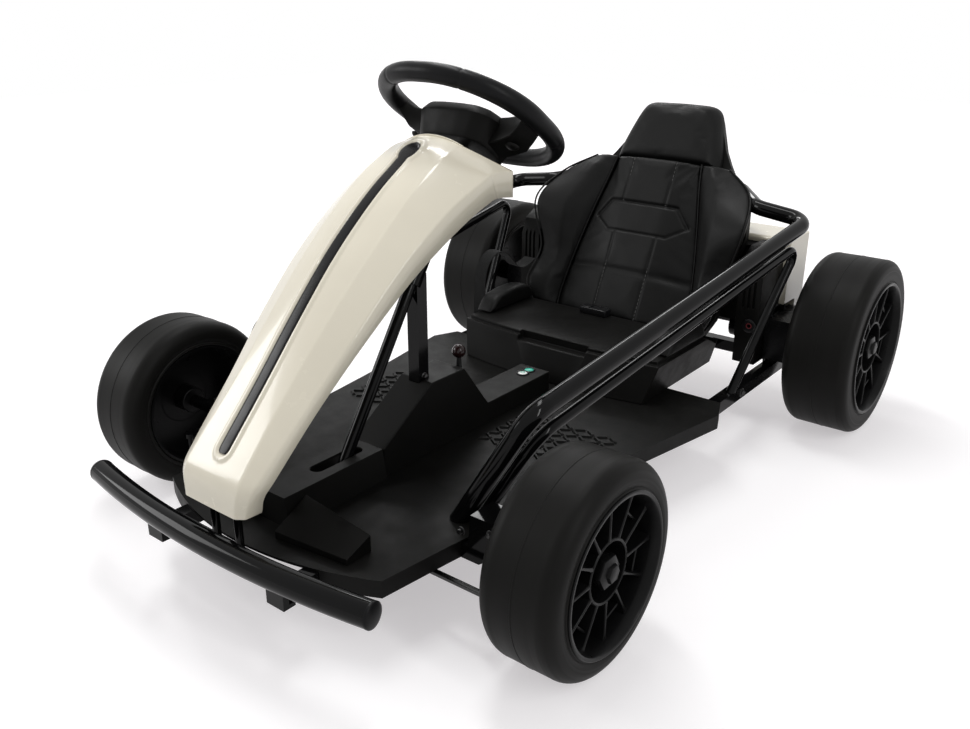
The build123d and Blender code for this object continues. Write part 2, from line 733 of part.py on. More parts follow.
cowl -= ridge_band(-strip_depth, 8, strip_pad_half + soft_gap) & strip_plan(soft_gap)
save("nose_cowl", cowl)
stay_top = (0, -262.0, 474.2)
post += rod((0, post_y - 4, column_z + bearing_s * along[1]), stay_top, 5.0)
post -= on_column(shaft_foot_s) * Cylinder(
    shaft_r + running_gap, shaft_top_s - shaft_foot_s, align=(Align.CENTER, Align.CENTER, Align.MIN)
)
post -= cowl
save("support_post", post)
save("nose_strip", ridge_band(-strip_depth, -0.4, strip_pad_half) & strip_plan(0))

# Side hoop: one bent tube on each side and the cross tube behind the seat
foot_room = block(-240, 240, -380, -260, 60, pan_top_z + 0.15)
bx, by, bz = hoop_front
rx, ry, rz = hoop_rear
joint_t = 0.86
joint = tuple(a + (b - a) * joint_t for a, b in zip(hoop_front, hoop_rear))
side_rail = tube_path([hoop_foot, hoop_front, joint], hoop_r, [hoop_bend_r]) - foot_room
save("side_rail_left", side_rail)
save("side_rail_right", mirrored(side_rail))
cross_path = [
    joint,
    hoop_rear,
    hoop_side,
    hoop_back,
    (-hoop_back[0], *hoop_back[1:]),
    (-hoop_side[0], *hoop_side[1:]),
    (-rx, ry, rz),
    (-joint[0], *joint[1:]),
]
bends = [hoop_rear_bend_r, hoop_back_bend_r, hoop_back_bend_r]
rear_hoop = tube_path(cross_path, hoop_r, bends + bends[::-1])
save("rear_hoop", rear_hoop)
rear_hoop_room = tube_path(cross_path, hoop_r + tube_gap, bends + bends[::-1])
lower_front = (bx + 4, by + 14, bz - lower_drop)
lower = tube_path([lower_foot, lower_front, strut_bend, strut_foot], lower_r, [hoop_bend_r, strut_bend_r])
lower -= foot_room
rail_room_y = strut_foot[1] + 64
rail_room_x = (outer_rail_in - 20, outer_rail_out + 20)
lower -= block(*rail_room_x, outer_rail_front_y, rail_room_y, rail_low_z - 10, frame_top_z)
save("lower_rail_left", lower)
save("lower_rail_right", mirrored(lower))

# Seat base: a moulded box that widens upwards, its lid, and the battery inside it


def base_wire(half, front_y, corner_y, rear_y, z):
    """The seat base's outline at one height, bowed at the front."""
    front = ThreePointArc((-half, corner_y, z), (0, front_y, z), (half, corner_y, z))
    rest = Polyline((half, corner_y, z), (half, rear_y, z), (-half, rear_y, z), (-half, corner_y, z))
    return make_face([front, rest])


base_rows = (
    # half width, y at the front's middle and at its corners, z
    (seat_base_foot_half, seat_base_foot_front_y, seat_base_foot_corner_y, pan_top_z),
    (seat_base_top_half, seat_base_top_front_y, seat_base_top_corner_y, seat_base_top_z),
)
base_sections = [base_wire(*row[:3], seat_base_rear_y, row[3]) for row in base_rows]
seat_base = loft(base_sections, ruled=True)
lid_z = seat_base_top_z
lid = extrude(
    base_wire(
        seat_base_top_half - lid_inset,
        seat_base_top_front_y + lid_inset,
        seat_base_top_corner_y + lid_inset,
        seat_base_rear_y - lid_inset,
        lid_z - 1,
    ),
    amount=lid_t + 1,
    dir=(0, 0, 1),
)
lid_front_y = seat_base_top_front_y + lid_inset
seat_base += lid
notch_rear_y = lid_front_y + notch_d
seat_base -= block(-notch_half, notch_half, notch_rear_y - 40, notch_rear_y, lid_z - 8, lid_z + lid_t + 1)
battery_rear_y = battery_front_y + battery_len
battery_top_z = pan_top_z + battery_h
battery = block(-battery_half, battery_half, battery_front_y, battery_rear_y, pan_top_z, battery_top_z)
battery_x = battery_half + 1
battery_y = (battery_front_y - 1, battery_rear_y + 1)
seat_base -= block(-battery_x, battery_x, *battery_y, pan_top_z - 1, battery_top_z + 1)
save("battery_block", battery)

# Seat back: u runs up the back from its foot, n points towards the driver
back_angle = radians(back_tilt)
back_plane = Plane(
    origin=(0, back_foot_y, back_foot_z), x_dir=(1, 0, 0), z_dir=(0, -cos(back_angle), sin(back_angle))
)


def back_prism(points, n0, n1):
    """A closed outline on the seat back, carried from n0 to n1 towards the driver."""
    face = make_face(Polyline(*[(x, u, 0) for x, u in points], close=True))
    return back_plane * (Pos(0, 0, n0) * extrude(face, amount=n1 - n0, dir=(0, 0, 1)))


def back_section(u, points):
    """One section across the seat back at height u, from pairs of x and n."""
    return Wire.make_polygon([back_plane.from_local_coords((x, u, n)) for x, n in points])


def both_sides(points):
    """An outline closed by its own mirror image, listed from the foot upwards."""
    return list(points) + [(-x, u) for x, u in reversed(points)]


notch_side = seat_base_top_half + 30
back_room = both_sides([(notch_side, 5.7), (notch_side, 120)])
seat_base -= back_prism(back_room, -pad_t - shell_t - 2 * soft_gap, 60)
save("seat_base", seat_base)

# edge and outer: half widths of the panel and the wing less the seat base's; edge_n and outer_n: set-backs
back_rows = (
    # u, edge, edge_n, outer, outer_n
    (6.0, -62.0, -19.0, -24.0, 9.0),
    (42.0, -61.0, -20.0, -7.0, 19.0),
    (108.0, -69.0, -18.0, -6.0, 2.0),
    (188.0, -84.0, -14.0, 15.0, 30.0),
    (254.0, -99.0, -12.0, -6.0, -2.0),
    (298.0, -107.0, -12.0, -60.0, -20.0),
)
crown_half = 46.0
panel_sections = []
wing_sections = []
for u, edge_less, edge_n, outer_less, outer_n in back_rows:
    edge = seat_base_top_half + edge_less
    outer = seat_base_top_half + outer_less
    panel_sections.append(
        back_section(
            u, both_sides([(crown_half, 0), (edge, edge_n), (edge, -pad_t)])
        )
    )
    inner = edge + soft_gap
    outer_back = max(outer_n - wing_t, 1 - pad_t)
    wing_line = [(inner, -pad_t), (inner, edge_n), (outer, outer_n), (outer, outer_back)]
    wing_sections.append(back_section(u, wing_line))
save("seat_back_pad", Solid.make_loft(panel_sections, ruled=True))
wing = Solid.make_loft(wing_sections, ruled=True) - rear_hoop_room
save("back_wing_left", wing)
save("back_wing_right", mirrored(wing))

# Headrest, and the moulded shell behind the pads with two saddles for the hoop
headrest_outline = both_sides([(95, 300), (91, 330), (72, 384), (62, 398)])
save("headrest_pad", back_prism(headrest_outline, headrest_n - headrest_t, headrest_n))
shell_n1 = -pad_t - soft_gap
shell_n0 = shell_n1 - shell_t
head_n1 = headrest_n - headrest_t - soft_gap
head_n0 = head_n1 - shell_t
shell_neck = seat_base_top_half - 63
shell_rows = ((-30, 6), (-14, 44), (-12, 108), (0, 188), (-12, 254), (-63, 298))
shell_low = both_sides([(seat_base_top_half + less, u) for less, u in shell_rows])
shell_high = both_sides([(shell_neck, 299), (shell_neck - 12, 316), (100, 340), (78, 392), (68, 404)])
shell = back_prism(shell_low, shell_n0, shell_n1)
shell += back_prism(both_sides([(shell_neck, 290), (shell_neck, 299)]), head_n0, shell_n1)
shell += back_prism(shell_high, head_n0, head_n1)
saddle_u = (hoop_back[1] - back_foot_y) * sin(back_angle) + (hoop_back[2] - back_foot_z) * cos(back_angle)
saddle_n = -(hoop_back[1] - back_foot_y) * cos(back_angle) + (hoop_back[2] - back_foot_z) * sin(back_angle)
saddle_x = 80.0
saddle_half = 12.0
for side in (-1, 1):
    low_u, high_u = saddle_u - 18, saddle_u + 18
    x0, x1 = side * saddle_x - saddle_half, side * saddle_x + saddle_half
    saddle = [(x0, low_u), (x1, low_u), (x1, high_u), (x0, high_u)]
    shell += back_prism(saddle, saddle_n - 4, shell_n0 + 1)
shell -= rear_hoop_room
save("seat_shell", shell)
thigh_half = 17.0
# y behind the seat base's front, z above the lid
thigh_line = ((62, 0), (198, 0), (184, 30), (136, 35), (82, 28))
thigh = side_profile([(seat_base_foot_front_y + y, lid_z + lid_t + z) for y, z in thigh_line], thigh_half)
thigh = Pos(seat_base_top_half - thigh_half, 0, soft_gap) * thigh
thigh -= wing
save("thigh_bolster_left", thigh)
save("thigh_bolster_right", mirrored(thigh))

# Lap belt: a loop from the right wing over to the seat base, and a run along the seat's foot to the buckle


def strip(points, width, thick, x):
    """A belt in a plane of constant x, given by its lower line in y and z."""
    upper = [(y, z + thick) for y, z in points]
    face = make_face(Polyline(*[(0, y, z) for y, z in points + upper[::-1]], close=True))
    return Pos(x - width / 2, 0, 0) * extrude(face, amount=width, dir=(1, 0, 0))


# y behind the seat base's front, z above the ground
belt_rows = (
    # y from the seat base's foot, z
    (244, 224),
    (214, 216),
    (192, 221),
    (168, 243),
    (148, 256),
    (126, 258),
    (106, 246),
    (94, 222),
    (90, 132),
)
belt_line = [(seat_base_foot_front_y + y, z) for y, z in belt_rows]
belt = strip(belt_line, belt_w, belt_t, -(seat_base_top_half + soft_gap + belt_w / 2))
save("seat_belt", belt)
buckle_y = seat_base_foot_front_y + 168
buckle = block(-44, 12, buckle_y, buckle_y + 26, lid_z + lid_t + soft_gap, lid_z + lid_t + 12)
save("belt_buckle", buckle)

# Rear: fixed axle, drive units, dark cover with fluted sides, pale panel behind it
rear_z = rear_tyre_r
rear_reach = rear_wheel_x + rear_tyre_w / 2 + rim_proud - stub_end_inset - 1
save("rear_axle", rod((-rear_reach, rear_axle_y, rear_z), (rear_reach, rear_axle_y, rear_z), rear_axle_r))
axle_bore_r = rear_axle_r + running_gap
axle_room = rod((motor_in_x, rear_axle_y, rear_z), (rear_reach, rear_axle_y, rear_z), axle_bore_r)
drive_top_z = rear_z + drive_half_z
drive = block(drive_in_x, drive_out_x, rear_axle_y - 68, rear_axle_y + 30, drive_low_z, drive_top_z)
drive += rod((motor_in_x, motor_y, rear_z + 8), (drive_in_x + 1, motor_y, rear_z + 8), motor_r)
boss_end_x = rear_wheel_x - hub_inner_reach - 1
drive += rod((drive_out_x - 1, rear_axle_y, rear_z), (boss_end_x, rear_axle_y, rear_z), hub_r)
drive -= axle_room
save("drive_unit_left", drive)
save("drive_unit_right", mirrored(drive))
cover_middle = [
    (cover_front_y + 16, cover_low_z + 22),
    (cover_front_y + 70, cover_top_z - 10),
    (cover_rear_y, cover_top_z - 4),
    (cover_rear_y, cover_base_z + 8),
]
cover_side = [
    (cover_front_y, cover_low_z),
    (cover_front_y, cover_top_z - 40),
    (cover_front_y + 12, cover_top_z - 12),
    (cover_front_y + 35, cover_top_z),
    (cover_rear_y, cover_top_z),
    (cover_rear_y, cover_base_z),
    (cover_front_y + 26, cover_base_z),
    (cover_front_y + 26, cover_low_z),
]
cover = side_profile(cover_middle, cover_inner_half)
pod_half = (cover_outer_half - cover_inner_half + 1) / 2
for side in (-1, 1):
    pod_x = side * (cover_outer_half - pod_half)
    cover += Pos(pod_x, 0, 0) * side_profile(cover_side, pod_half)
    for i in (-1, 0, 1):
        flute_x = pod_x + flute_pitch * i
        cover -= block(
            flute_x - flute_w / 2,
            flute_x + flute_w / 2,
            cover_front_y - 1,
            cover_front_y + 4,
            cover_low_z + 52,
            cover_top_z,
        )
toe = radians(socket_toe)
socket_place = Plane(
    origin=(socket_x, cover_front_y, socket_z),
    x_dir=(cos(toe), sin(toe), 0),
    z_dir=(sin(toe), -cos(toe), 0),
)
cover -= socket_place * Cylinder(socket_r + 0.2, 40)
save("rear_cover", cover)
socket = socket_place * rod((0, 0, -18), (0, 0, 2), socket_r)
socket_floor = 2 - socket_bore_len
socket -= socket_place * (
    Pos(0, 0, socket_floor) * Cylinder(socket_bore_r, 20, align=(Align.CENTER, Align.CENTER, Align.MIN))
)
save("charge_socket", socket)
fascia_skirt_y = rail_rear_y + 2
fascia_side = [
    (fascia_front_y, cover_base_z),
    (fascia_front_y, fascia_top_z - 4),
    (fascia_front_y + 6, fascia_top_z),
    (fascia_rear_y - 14, fascia_top_z),
    (fascia_rear_y, fascia_top_z - 16),
    (fascia_rear_y, cover_low_z + 16),
    (fascia_rear_y - 12, cover_low_z),
    (fascia_skirt_y, cover_low_z),
    (fascia_skirt_y, cover_base_z),
]
fascia_plan = [
    (-fascia_half, fascia_front_y),
    (fascia_half, fascia_front_y),
    (fascia_half, fascia_rear_y - fascia_corner),
    (fascia_half - fascia_corner, fascia_rear_y),
    (fascia_corner - fascia_half, fascia_rear_y),
    (-fascia_half, fascia_rear_y - fascia_corner),
]
fascia = side_profile(fascia_side, fascia_half) & plan_prism(fascia_plan, cover_low_z, fascia_top_z)
save("rear_fascia", fascia)
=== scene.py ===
import json
import math

import bmesh
import bpy
import numpy as np
from bpy.props import FloatProperty, FloatVectorProperty, IntProperty, PointerProperty
from bpy.types import Operator, Panel, PropertyGroup
from mathutils import Matrix, Vector


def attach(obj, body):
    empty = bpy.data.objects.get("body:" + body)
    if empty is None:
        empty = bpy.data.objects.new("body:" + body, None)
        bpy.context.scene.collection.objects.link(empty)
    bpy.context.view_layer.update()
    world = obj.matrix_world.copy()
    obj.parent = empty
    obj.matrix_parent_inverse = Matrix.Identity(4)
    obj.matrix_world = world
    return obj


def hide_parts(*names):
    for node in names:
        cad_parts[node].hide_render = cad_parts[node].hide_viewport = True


bl_info = {
    "name": "Children's electric go-kart",
    "version": (1, 0, 0),
    "blender": (4, 5, 0),
    "location": "3D View > Sidebar > Go-kart",
    "description": "Dresses the go-kart's frame with mouldings, padding, tyres, finishes and a plain studio",
    "category": "Object",
}

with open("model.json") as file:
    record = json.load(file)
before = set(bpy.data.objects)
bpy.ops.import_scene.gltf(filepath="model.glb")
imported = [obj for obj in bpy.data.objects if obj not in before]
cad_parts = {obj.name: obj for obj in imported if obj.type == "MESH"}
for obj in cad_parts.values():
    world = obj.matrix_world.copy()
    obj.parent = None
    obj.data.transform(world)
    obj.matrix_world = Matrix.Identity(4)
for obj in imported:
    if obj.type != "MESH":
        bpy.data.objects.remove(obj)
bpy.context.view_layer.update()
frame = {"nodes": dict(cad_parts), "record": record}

# Sizes here are in millimetres, in the frame of the part: the front towards -Y, the driver's left towards +X.
MM = 0.001
BACK_FOOT = np.array([0.0, 287.0, 150.0])
BACK_TILT = math.radians(25.5)
BACK_UP = np.array([0.0, math.sin(BACK_TILT), math.cos(BACK_TILT)])
BACK_OUT = np.array([0.0, -math.cos(BACK_TILT), math.sin(BACK_TILT)])
COLUMN_FOOT = np.array([0.0, -361.0, 131.0])
COLUMN_TILT = math.radians(33.0)
COLUMN_UP = np.array([0.0, math.sin(COLUMN_TILT), math.cos(COLUMN_TILT)])
COLUMN_FORE = np.array([0.0, -math.cos(COLUMN_TILT), math.sin(COLUMN_TILT)])
RING_S = 482.0
X_AXIS = np.array([1.0, 0.0, 0.0])


def length(name, text, value, low, high):
    """A length's property with its description, default and range, in metres."""
    return FloatProperty(name=name, description=text, default=value, min=low, max=high, unit="LENGTH")


class KartSizes(PropertyGroup):
    """Sizes of the dressing that a user may change."""

    edge_round: length(
        "Edge rounding", "Rounding of moulded edges, which each part scales", 0.001, 0.0002, 0.002
    )
    bar_length: length("Tread bar length", "Length of one anti-slip bar on the floor", 0.0165, 0.004, 0.02)
    bar_width: length("Tread bar width", "Width of one anti-slip bar on the floor", 0.006, 0.001, 0.008)
    bar_height: length("Tread bar height", "How far an anti-slip bar stands up", 0.0026, 0.0003, 0.004)
    piping_radius: length(
        "Piping radius", "Radius of the piping along the seat's creases", 0.0014, 0.0005, 0.004
    )
    stitch_length: length("Stitch length", "Length of one stitch on the seat", 0.0052, 0.002, 0.01)
    stitch_radius: length("Thread radius", "Radius of the seat's thread", 0.0005, 0.0002, 0.002)
    pad_puff: length("Padding swell", "Most that the padding may swell in the simulation", 0.0045, 0.0, 0.01)
    rib_width: length("Rim rib width", "Width of one rib of the rims", 0.0036, 0.002, 0.006)
    wheel_sides: IntProperty(
        name="Wheel sides", description="Number of steps round a tyre", default=144, min=48, max=256
    )


def colour(name, text, value):
    """A colour property with its description and default."""
    return FloatVectorProperty(
        name=name, description=text, default=value, min=0.0, max=1.0, size=3, subtype="COLOR"
    )


class KartColours(PropertyGroup):
    """Colours of the finishes that a user may change."""

    ivory: colour("Ivory", "Glossy plastic of the nose and the rear panel", (0.73, 0.68, 0.56))
    gloss_black: colour("Gloss black", "Glossy plastic trim", (0.006, 0.006, 0.0065))
    frame_black: colour("Frame black", "Paint of the tubes", (0.0028, 0.0028, 0.003))
    plastic_black: colour("Plastic black", "Matt moulded plastic", (0.0042, 0.0041, 0.0038))
    tyre_black: colour("Tyre black", "Rubber of the tyres", (0.0048, 0.0046, 0.0042))
    rim_black: colour("Rim black", "Satin plastic of the rims", (0.0038, 0.0038, 0.004))
    leather_black: colour("Leather black", "Cover of the seat", (0.0026, 0.0026, 0.0025))
    thread_grey: colour("Thread grey", "Seat's stitching", (0.05, 0.05, 0.048))
    battery_grey: colour("Battery grey", "Case of the battery inside the seat base", (0.04, 0.04, 0.045))
    webbing_black: colour("Webbing black", "Lap belt", (0.004, 0.004, 0.004))
    zinc: colour("Zinc", "Bolts, rods and axles", (0.06, 0.06, 0.06))
    socket_red: colour("Socket red", "Ring of the charging socket", (0.11, 0.006, 0.01))
    button_white: colour("Button white", "Push button", (0.8, 0.82, 0.8))
    button_green: colour("Button green", "Green push button, and the ring on the white one", (0.02, 0.42, 0.3))
    knob_red: colour("Knob dark red", "Ball of the selector lever", (0.014, 0.005, 0.005))


def sizes():
    """The scene's sizes."""
    return bpy.context.scene.kart_sizes


def colours():
    """The scene's colours."""
    return bpy.context.scene.kart_colours


# Surfaces


def spline_rows(values, count):
    """Smooth rows through a table: a mean of the four nearest, its weights cubic in the share of the way."""
    values = np.asarray(values, float)
    last = len(values) - 1
    t = np.linspace(0, last, count)
    i = np.clip(t.astype(int), 0, last - 1)
    f = (t - i).reshape((-1,) + (1,) * (values.ndim - 1))
    p = np.concatenate([2 * values[:1] - values[1:2], values, 2 * values[-1:] - values[-2:-1]])
    a, b, c, d = p[i], p[i + 1], p[i + 2], p[i + 3]
    return 0.5 * (2 * b + (c - a) * f + (2 * a - 5 * b + 4 * c - d) * f**2 + (3 * b - a - 3 * c + d) * f**3)


def rounded_line(points, radius, steps=4, closed=False):
    """Corners of a line of points (..., n, k), rounded by quadratic curves that start a radius away."""
    points = np.asarray(points, float)
    n = points.shape[-2]
    before = np.roll(points, 1, axis=-2)
    after = np.roll(points, -1, axis=-2)
    radius = np.broadcast_to(np.asarray(radius, float), (n,))[:, None]
    to_before, to_after = before - points, after - points
    d0 = np.linalg.norm(to_before, axis=-1, keepdims=True)
    d1 = np.linalg.norm(to_after, axis=-1, keepdims=True)
    start = points + to_before * np.minimum(radius / np.maximum(d0, 1e-9), 0.48)
    end = points + to_after * np.minimum(radius / np.maximum(d1, 1e-9), 0.48)
    t = np.linspace(0, 1, steps)[:, None]
    start, corner, end = start[..., None, :], points[..., None, :], end[..., None, :]
    curve = start * (1 - t) ** 2 + corner * 2 * t * (1 - t) + end * t**2
    if closed:
        return curve.reshape(points.shape[:-2] + (-1, points.shape[-1]))
    inner = curve[..., 1:-1, :, :].reshape(points.shape[:-2] + (-1, points.shape[-1]))
    return np.concatenate([points[..., :1, :], inner, points[..., -1:, :]], axis=-2)


def bell(distance, reach, height=1.0):
    """A bell curve: the height times e to the power of minus the square of distance over reach."""
    return height * np.exp(-((distance / reach) ** 2))


def mirrored(line):
    """A flat line followed by its mirror image, which leads back to its start."""
    line = np.asarray(line, float)
    return np.vstack([line, (line * [-1, 1])[::-1]])


def skin(rows, wrap_rows=False, wrap_cols=False, cap=False):
    """Vertices and faces of a grid of points (m, n, 3); cap closes both end rows with a fan of triangles."""
    m, n = rows.shape[:2]
    grid = np.arange(m * n).reshape(m, n)
    if wrap_cols:
        grid = np.hstack([grid, grid[:, :1]])
    if wrap_rows:
        grid = np.vstack([grid, grid[:1]])
    quads = np.stack([grid[:-1, :-1], grid[:-1, 1:], grid[1:, 1:], grid[1:, :-1]], -1).reshape(-1, 4)
    verts = rows.reshape(-1, 3)
    faces = quads.tolist()
    if cap:
        ends = np.stack([rows[0].mean(0), rows[-1].mean(0)])
        verts = np.vstack([verts, ends])
        low, high = grid[0], grid[m - 1]
        top = m * n
        faces += np.stack([low[1:], low[:-1], np.full(len(low) - 1, top)], -1).tolist()
        faces += np.stack([high[:-1], high[1:], np.full(len(high) - 1, top + 1)], -1).tolist()
    return verts, faces


def turned(profile, sides, wrap=True):
    """A profile of x and radius (n, 2) turned about X: each point goes round a circle of its radius."""
    profile = np.asarray(profile, float)
    angle = np.linspace(0, 2 * np.pi, sides, endpoint=False)[:, None]
    x = np.broadcast_to(profile[:, 0], (sides, len(profile)))
    rows = np.stack([x, profile[:, 1] * np.cos(angle), profile[:, 1] * np.sin(angle)], -1)
    return skin(rows, wrap_rows=True, wrap_cols=wrap)


def swept(path, radius, sides, side_dir, closed=False):
    """A circle carried along a path (n, 3), square to it; its first direction is square to side_dir too."""
    path = np.asarray(path, float)
    if closed:
        tangent = np.roll(path, -1, 0) - np.roll(path, 1, 0)
    else:
        tangent = np.gradient(path, axis=0)
    tangent /= np.linalg.norm(tangent, axis=1, keepdims=True)
    across = np.cross(np.broadcast_to(np.asarray(side_dir, float), path.shape), tangent)
    across /= np.maximum(np.linalg.norm(across, axis=1, keepdims=True), 1e-9)
    up = np.cross(tangent, across)
    angle = np.linspace(0, 2 * np.pi, sides, endpoint=False)[:, None]
    radius = np.broadcast_to(np.asarray(radius, float), (len(path),))[:, None, None]
    rows = path[:, None] + radius * (across[:, None] * np.cos(angle) + up[:, None] * np.sin(angle))
    return skin(rows, wrap_rows=closed, wrap_cols=True, cap=not closed)


def levelled(outline, levels, centre=(0.0, 0.0)):
    """Rows of a flat outline (n, 2): each level is a height and the share kept of the outline's size."""
    levels = np.asarray(levels, float)
    flat = centre + (outline - centre)[None] * levels[:, 1][:, None, None]
    height = np.broadcast_to(levels[:, 0][:, None, None], flat.shape[:2] + (1,))
    return np.concatenate([flat, height], -1)


def closed_skin(rows):
    """A shell from closed rows, with both ends capped."""
    return skin(rows, wrap_cols=True, cap=True)


def spun(levels, sides):
    """Rows of a profile of x and radius (n, 2) turned about X, a row for each of its points."""
    levels = np.asarray(levels, float)
    angle = np.linspace(0, 2 * np.pi, sides, endpoint=False)
    x = np.broadcast_to(levels[:, :1], (len(levels), sides))
    return np.stack([x, levels[:, 1:] * np.cos(angle), levels[:, 1:] * np.sin(angle)], -1)


def resampled(points, count, closed=False):
    """Points spaced evenly along a line of points."""
    points = np.asarray(points, float)
    if closed:
        points = np.vstack([points, points[:1]])
    steps = np.linalg.norm(np.diff(points, axis=0), axis=1)
    along = np.concatenate([[0], np.cumsum(steps)])
    at = np.linspace(0, along[-1], count, endpoint=not closed)
    return np.stack([np.interp(at, along, points[:, k]) for k in range(points.shape[1])], -1)


def copies(verts, faces, places):
    """A shape repeated: places is (k, 4, 4), one matrix for each copy."""
    verts = np.asarray(verts, float)
    flat = np.concatenate([verts, np.ones((len(verts), 1))], 1)
    moved = np.einsum("kij,vj->kvi", places, flat)[..., :3].reshape(-1, 3)
    offset = np.arange(len(places)) * len(verts)
    out = []
    for size in sorted({len(f) for f in faces}):
        some = np.array([f for f in faces if len(f) == size])
        out += (some[None] + offset[:, None, None]).reshape(-1, size).tolist()
    return moved, out


def joined(*shells):
    """Several shells as one list of vertices and faces."""
    verts, faces, start = [], [], 0
    for v, f in shells:
        verts.append(np.asarray(v, float))
        faces += [[i + start for i in face] for face in f]
        start += len(v)
    return np.vstack(verts), faces


def frame_matrix(origin, x_dir, y_dir, z_dir):
    """A 4 by 4 matrix from an origin and three directions."""
    out = np.eye(4)
    out[:3, 0], out[:3, 1], out[:3, 2], out[:3, 3] = x_dir, y_dir, z_dir, origin
    return out


def placed(shell, matrix):
    """A shell moved by a matrix."""
    verts, faces = shell
    flat = np.concatenate([np.asarray(verts, float), np.ones((len(verts), 1))], 1)
    return (flat @ matrix.T)[:, :3], faces


def back_point(x, u, n):
    """A point of the seat back: x across, u up the back, n out towards the driver."""
    x, u, n = np.broadcast_arrays(x, u, n)
    return BACK_FOOT + x[..., None] * X_AXIS + u[..., None] * BACK_UP + n[..., None] * BACK_OUT


COLUMN_FRAME = frame_matrix(COLUMN_FOOT + RING_S * COLUMN_UP, X_AXIS, COLUMN_FORE, COLUMN_UP)


# Pieces


MERGE = 2e-5


def tidy_mesh(mesh, sharp=35.0, merge=1e-6):
    """Merges doubles, turns faces outwards and marks edges over an angle as sharp."""
    bm = bmesh.new()
    bm.from_mesh(mesh)
    bmesh.ops.remove_doubles(bm, verts=bm.verts, dist=merge)
    bmesh.ops.dissolve_degenerate(bm, edges=bm.edges, dist=1e-7)
    bmesh.ops.recalc_face_normals(bm, faces=bm.faces)
    limit = math.radians(sharp)
    for face in bm.faces:
        face.smooth = True
    for edge in bm.edges:
        edge.smooth = len(edge.link_faces) != 2 or edge.calc_face_angle(0.0) < limit
    bm.to_mesh(mesh)
    bm.free()


def piece(name, shell, slot, stands_for=(), body="root", look=None, sharp=35.0, clean=True):
    """One new piece from a shell in millimetres, with a slot and that slot's finish, or another look."""
    verts, faces = shell
    mesh = bpy.data.meshes.new(name)
    mesh.from_pydata((np.asarray(verts, float) * MM).tolist(), [], faces)
    mesh.update()
    if clean:
        tidy_mesh(mesh, sharp)
    obj = bpy.data.objects.new(name, mesh)
    bpy.context.scene.collection.objects.link(obj)
    obj.data.materials.append(FINISHES[look or slot])
    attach(obj, body)
    if stands_for:
        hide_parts(*stands_for)
    return obj


def add_modifier(obj, kind, **values):
    """A modifier with its values set."""
    modifier = obj.modifiers.new(kind.title(), kind)
    for key, value in values.items():
        setattr(modifier, key, value)
    return modifier


EDGE_ANGLE = 32.0
FLAT_ANGLE = 0.8


def softened(node, name, slot, width):
    """A copy of a plain moulded node, flat faces joined and edges rounded, which stands for the node.

    The bevel's width is the rounding's radius; only edges that turn by more than the edge angle are rounded.
    """
    angle = math.radians(EDGE_ANGLE)
    mesh = frame["nodes"][node].data.copy()
    mesh.name = name
    bm = bmesh.new()
    bm.from_mesh(mesh)
    bmesh.ops.remove_doubles(bm, verts=bm.verts, dist=MERGE)
    bmesh.ops.dissolve_limit(bm, angle_limit=math.radians(FLAT_ANGLE), verts=bm.verts, edges=bm.edges)
    for face in bm.faces:
        face.smooth = True
    for edge in bm.edges:
        edge.smooth = len(edge.link_faces) != 2 or edge.calc_face_angle(0.0) < angle
    bm.to_mesh(mesh)
    bm.free()
    mesh.materials.clear()
    mesh.materials.append(FINISHES[slot])
    obj = bpy.data.objects.new(name, mesh)
    bpy.context.scene.collection.objects.link(obj)
    add_modifier(
        obj, "BEVEL", width=width, segments=3, limit_method="ANGLE",
        angle_limit=angle, harden_normals=True, miter_outer="MITER_ARC",
    )
    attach(obj, "root")
    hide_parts(node)
    return obj


# Finishes: each is a node material read from Object coordinates or the piece's own UV map


def made(tree, kind, values=(), sources=(), **settings):
    """A new node of a tree with its settings, its inputs' values and the outputs that feed its inputs."""
    node = tree.nodes.new("ShaderNode" + kind)
    for key, value in settings.items():
        setattr(node, key, value)
    for key, value in dict(values).items():
        node.inputs[key].default_value = value
    for key, source in dict(sources).items():
        tree.links.new(source, node.inputs[key])
    return node


def new_finish(name):
    """An empty node material with its tree, its shader and its Object and UV coordinates."""
    material = bpy.data.materials.new(name)
    material.use_nodes = True
    tree = material.node_tree
    place = made(tree, "TexCoord").outputs
    return material, tree, tree.nodes["Principled BSDF"], place["Object"], place["UV"]


def noise(tree, vector, scale, detail=3.0, rough=0.5, stretch=None):
    """A noise pattern at a scale in features for each metre, stretched along axes where asked."""
    if stretch is not None:
        vector = made(tree, "Mapping", {"Scale": stretch}, {"Vector": vector}).outputs["Vector"]
    values = {"Scale": scale, "Detail": detail, "Roughness": rough}
    return made(tree, "TexNoise", values, {"Vector": vector}).outputs["Fac"]


def mapped(tree, value, low, high, from_low=0.3, from_high=0.7):
    """A value carried from one range to another."""
    values = {"From Min": from_low, "From Max": from_high, "To Min": low, "To Max": high}
    return made(tree, "MapRange", values, {"Value": value}).outputs["Result"]


def product(tree, first, second):
    """Two values multiplied."""
    return made(tree, "Math", (), {0: first, 1: second}, operation="MULTIPLY").outputs[0]


def dressed(tree, shader, tint, rough, heights, values):
    """Sets the shader: a tint (value, colour and its two shares), roughness, chained bumps and plain values.

    Each bump is a value, its depth in metres and its strength.
    """
    value, rgb, low, high = tint
    ends = {6: (*scaled(rgb, low), 1), 7: (*scaled(rgb, high), 1)}
    colour_mix = made(tree, "Mix", ends, {0: value}, data_type="RGBA")
    tree.links.new(colour_mix.outputs[2], shader.inputs["Base Color"])
    tree.links.new(rough, shader.inputs["Roughness"])
    before = {}
    for value, depth, strength in heights:
        bump = made(tree, "Bump", {"Distance": depth, "Strength": strength}, {"Height": value, **before})
        before = {"Normal": bump.outputs["Normal"]}
    tree.links.new(before["Normal"], shader.inputs["Normal"])
    for key, value in values.items():
        shader.inputs[key].default_value = value


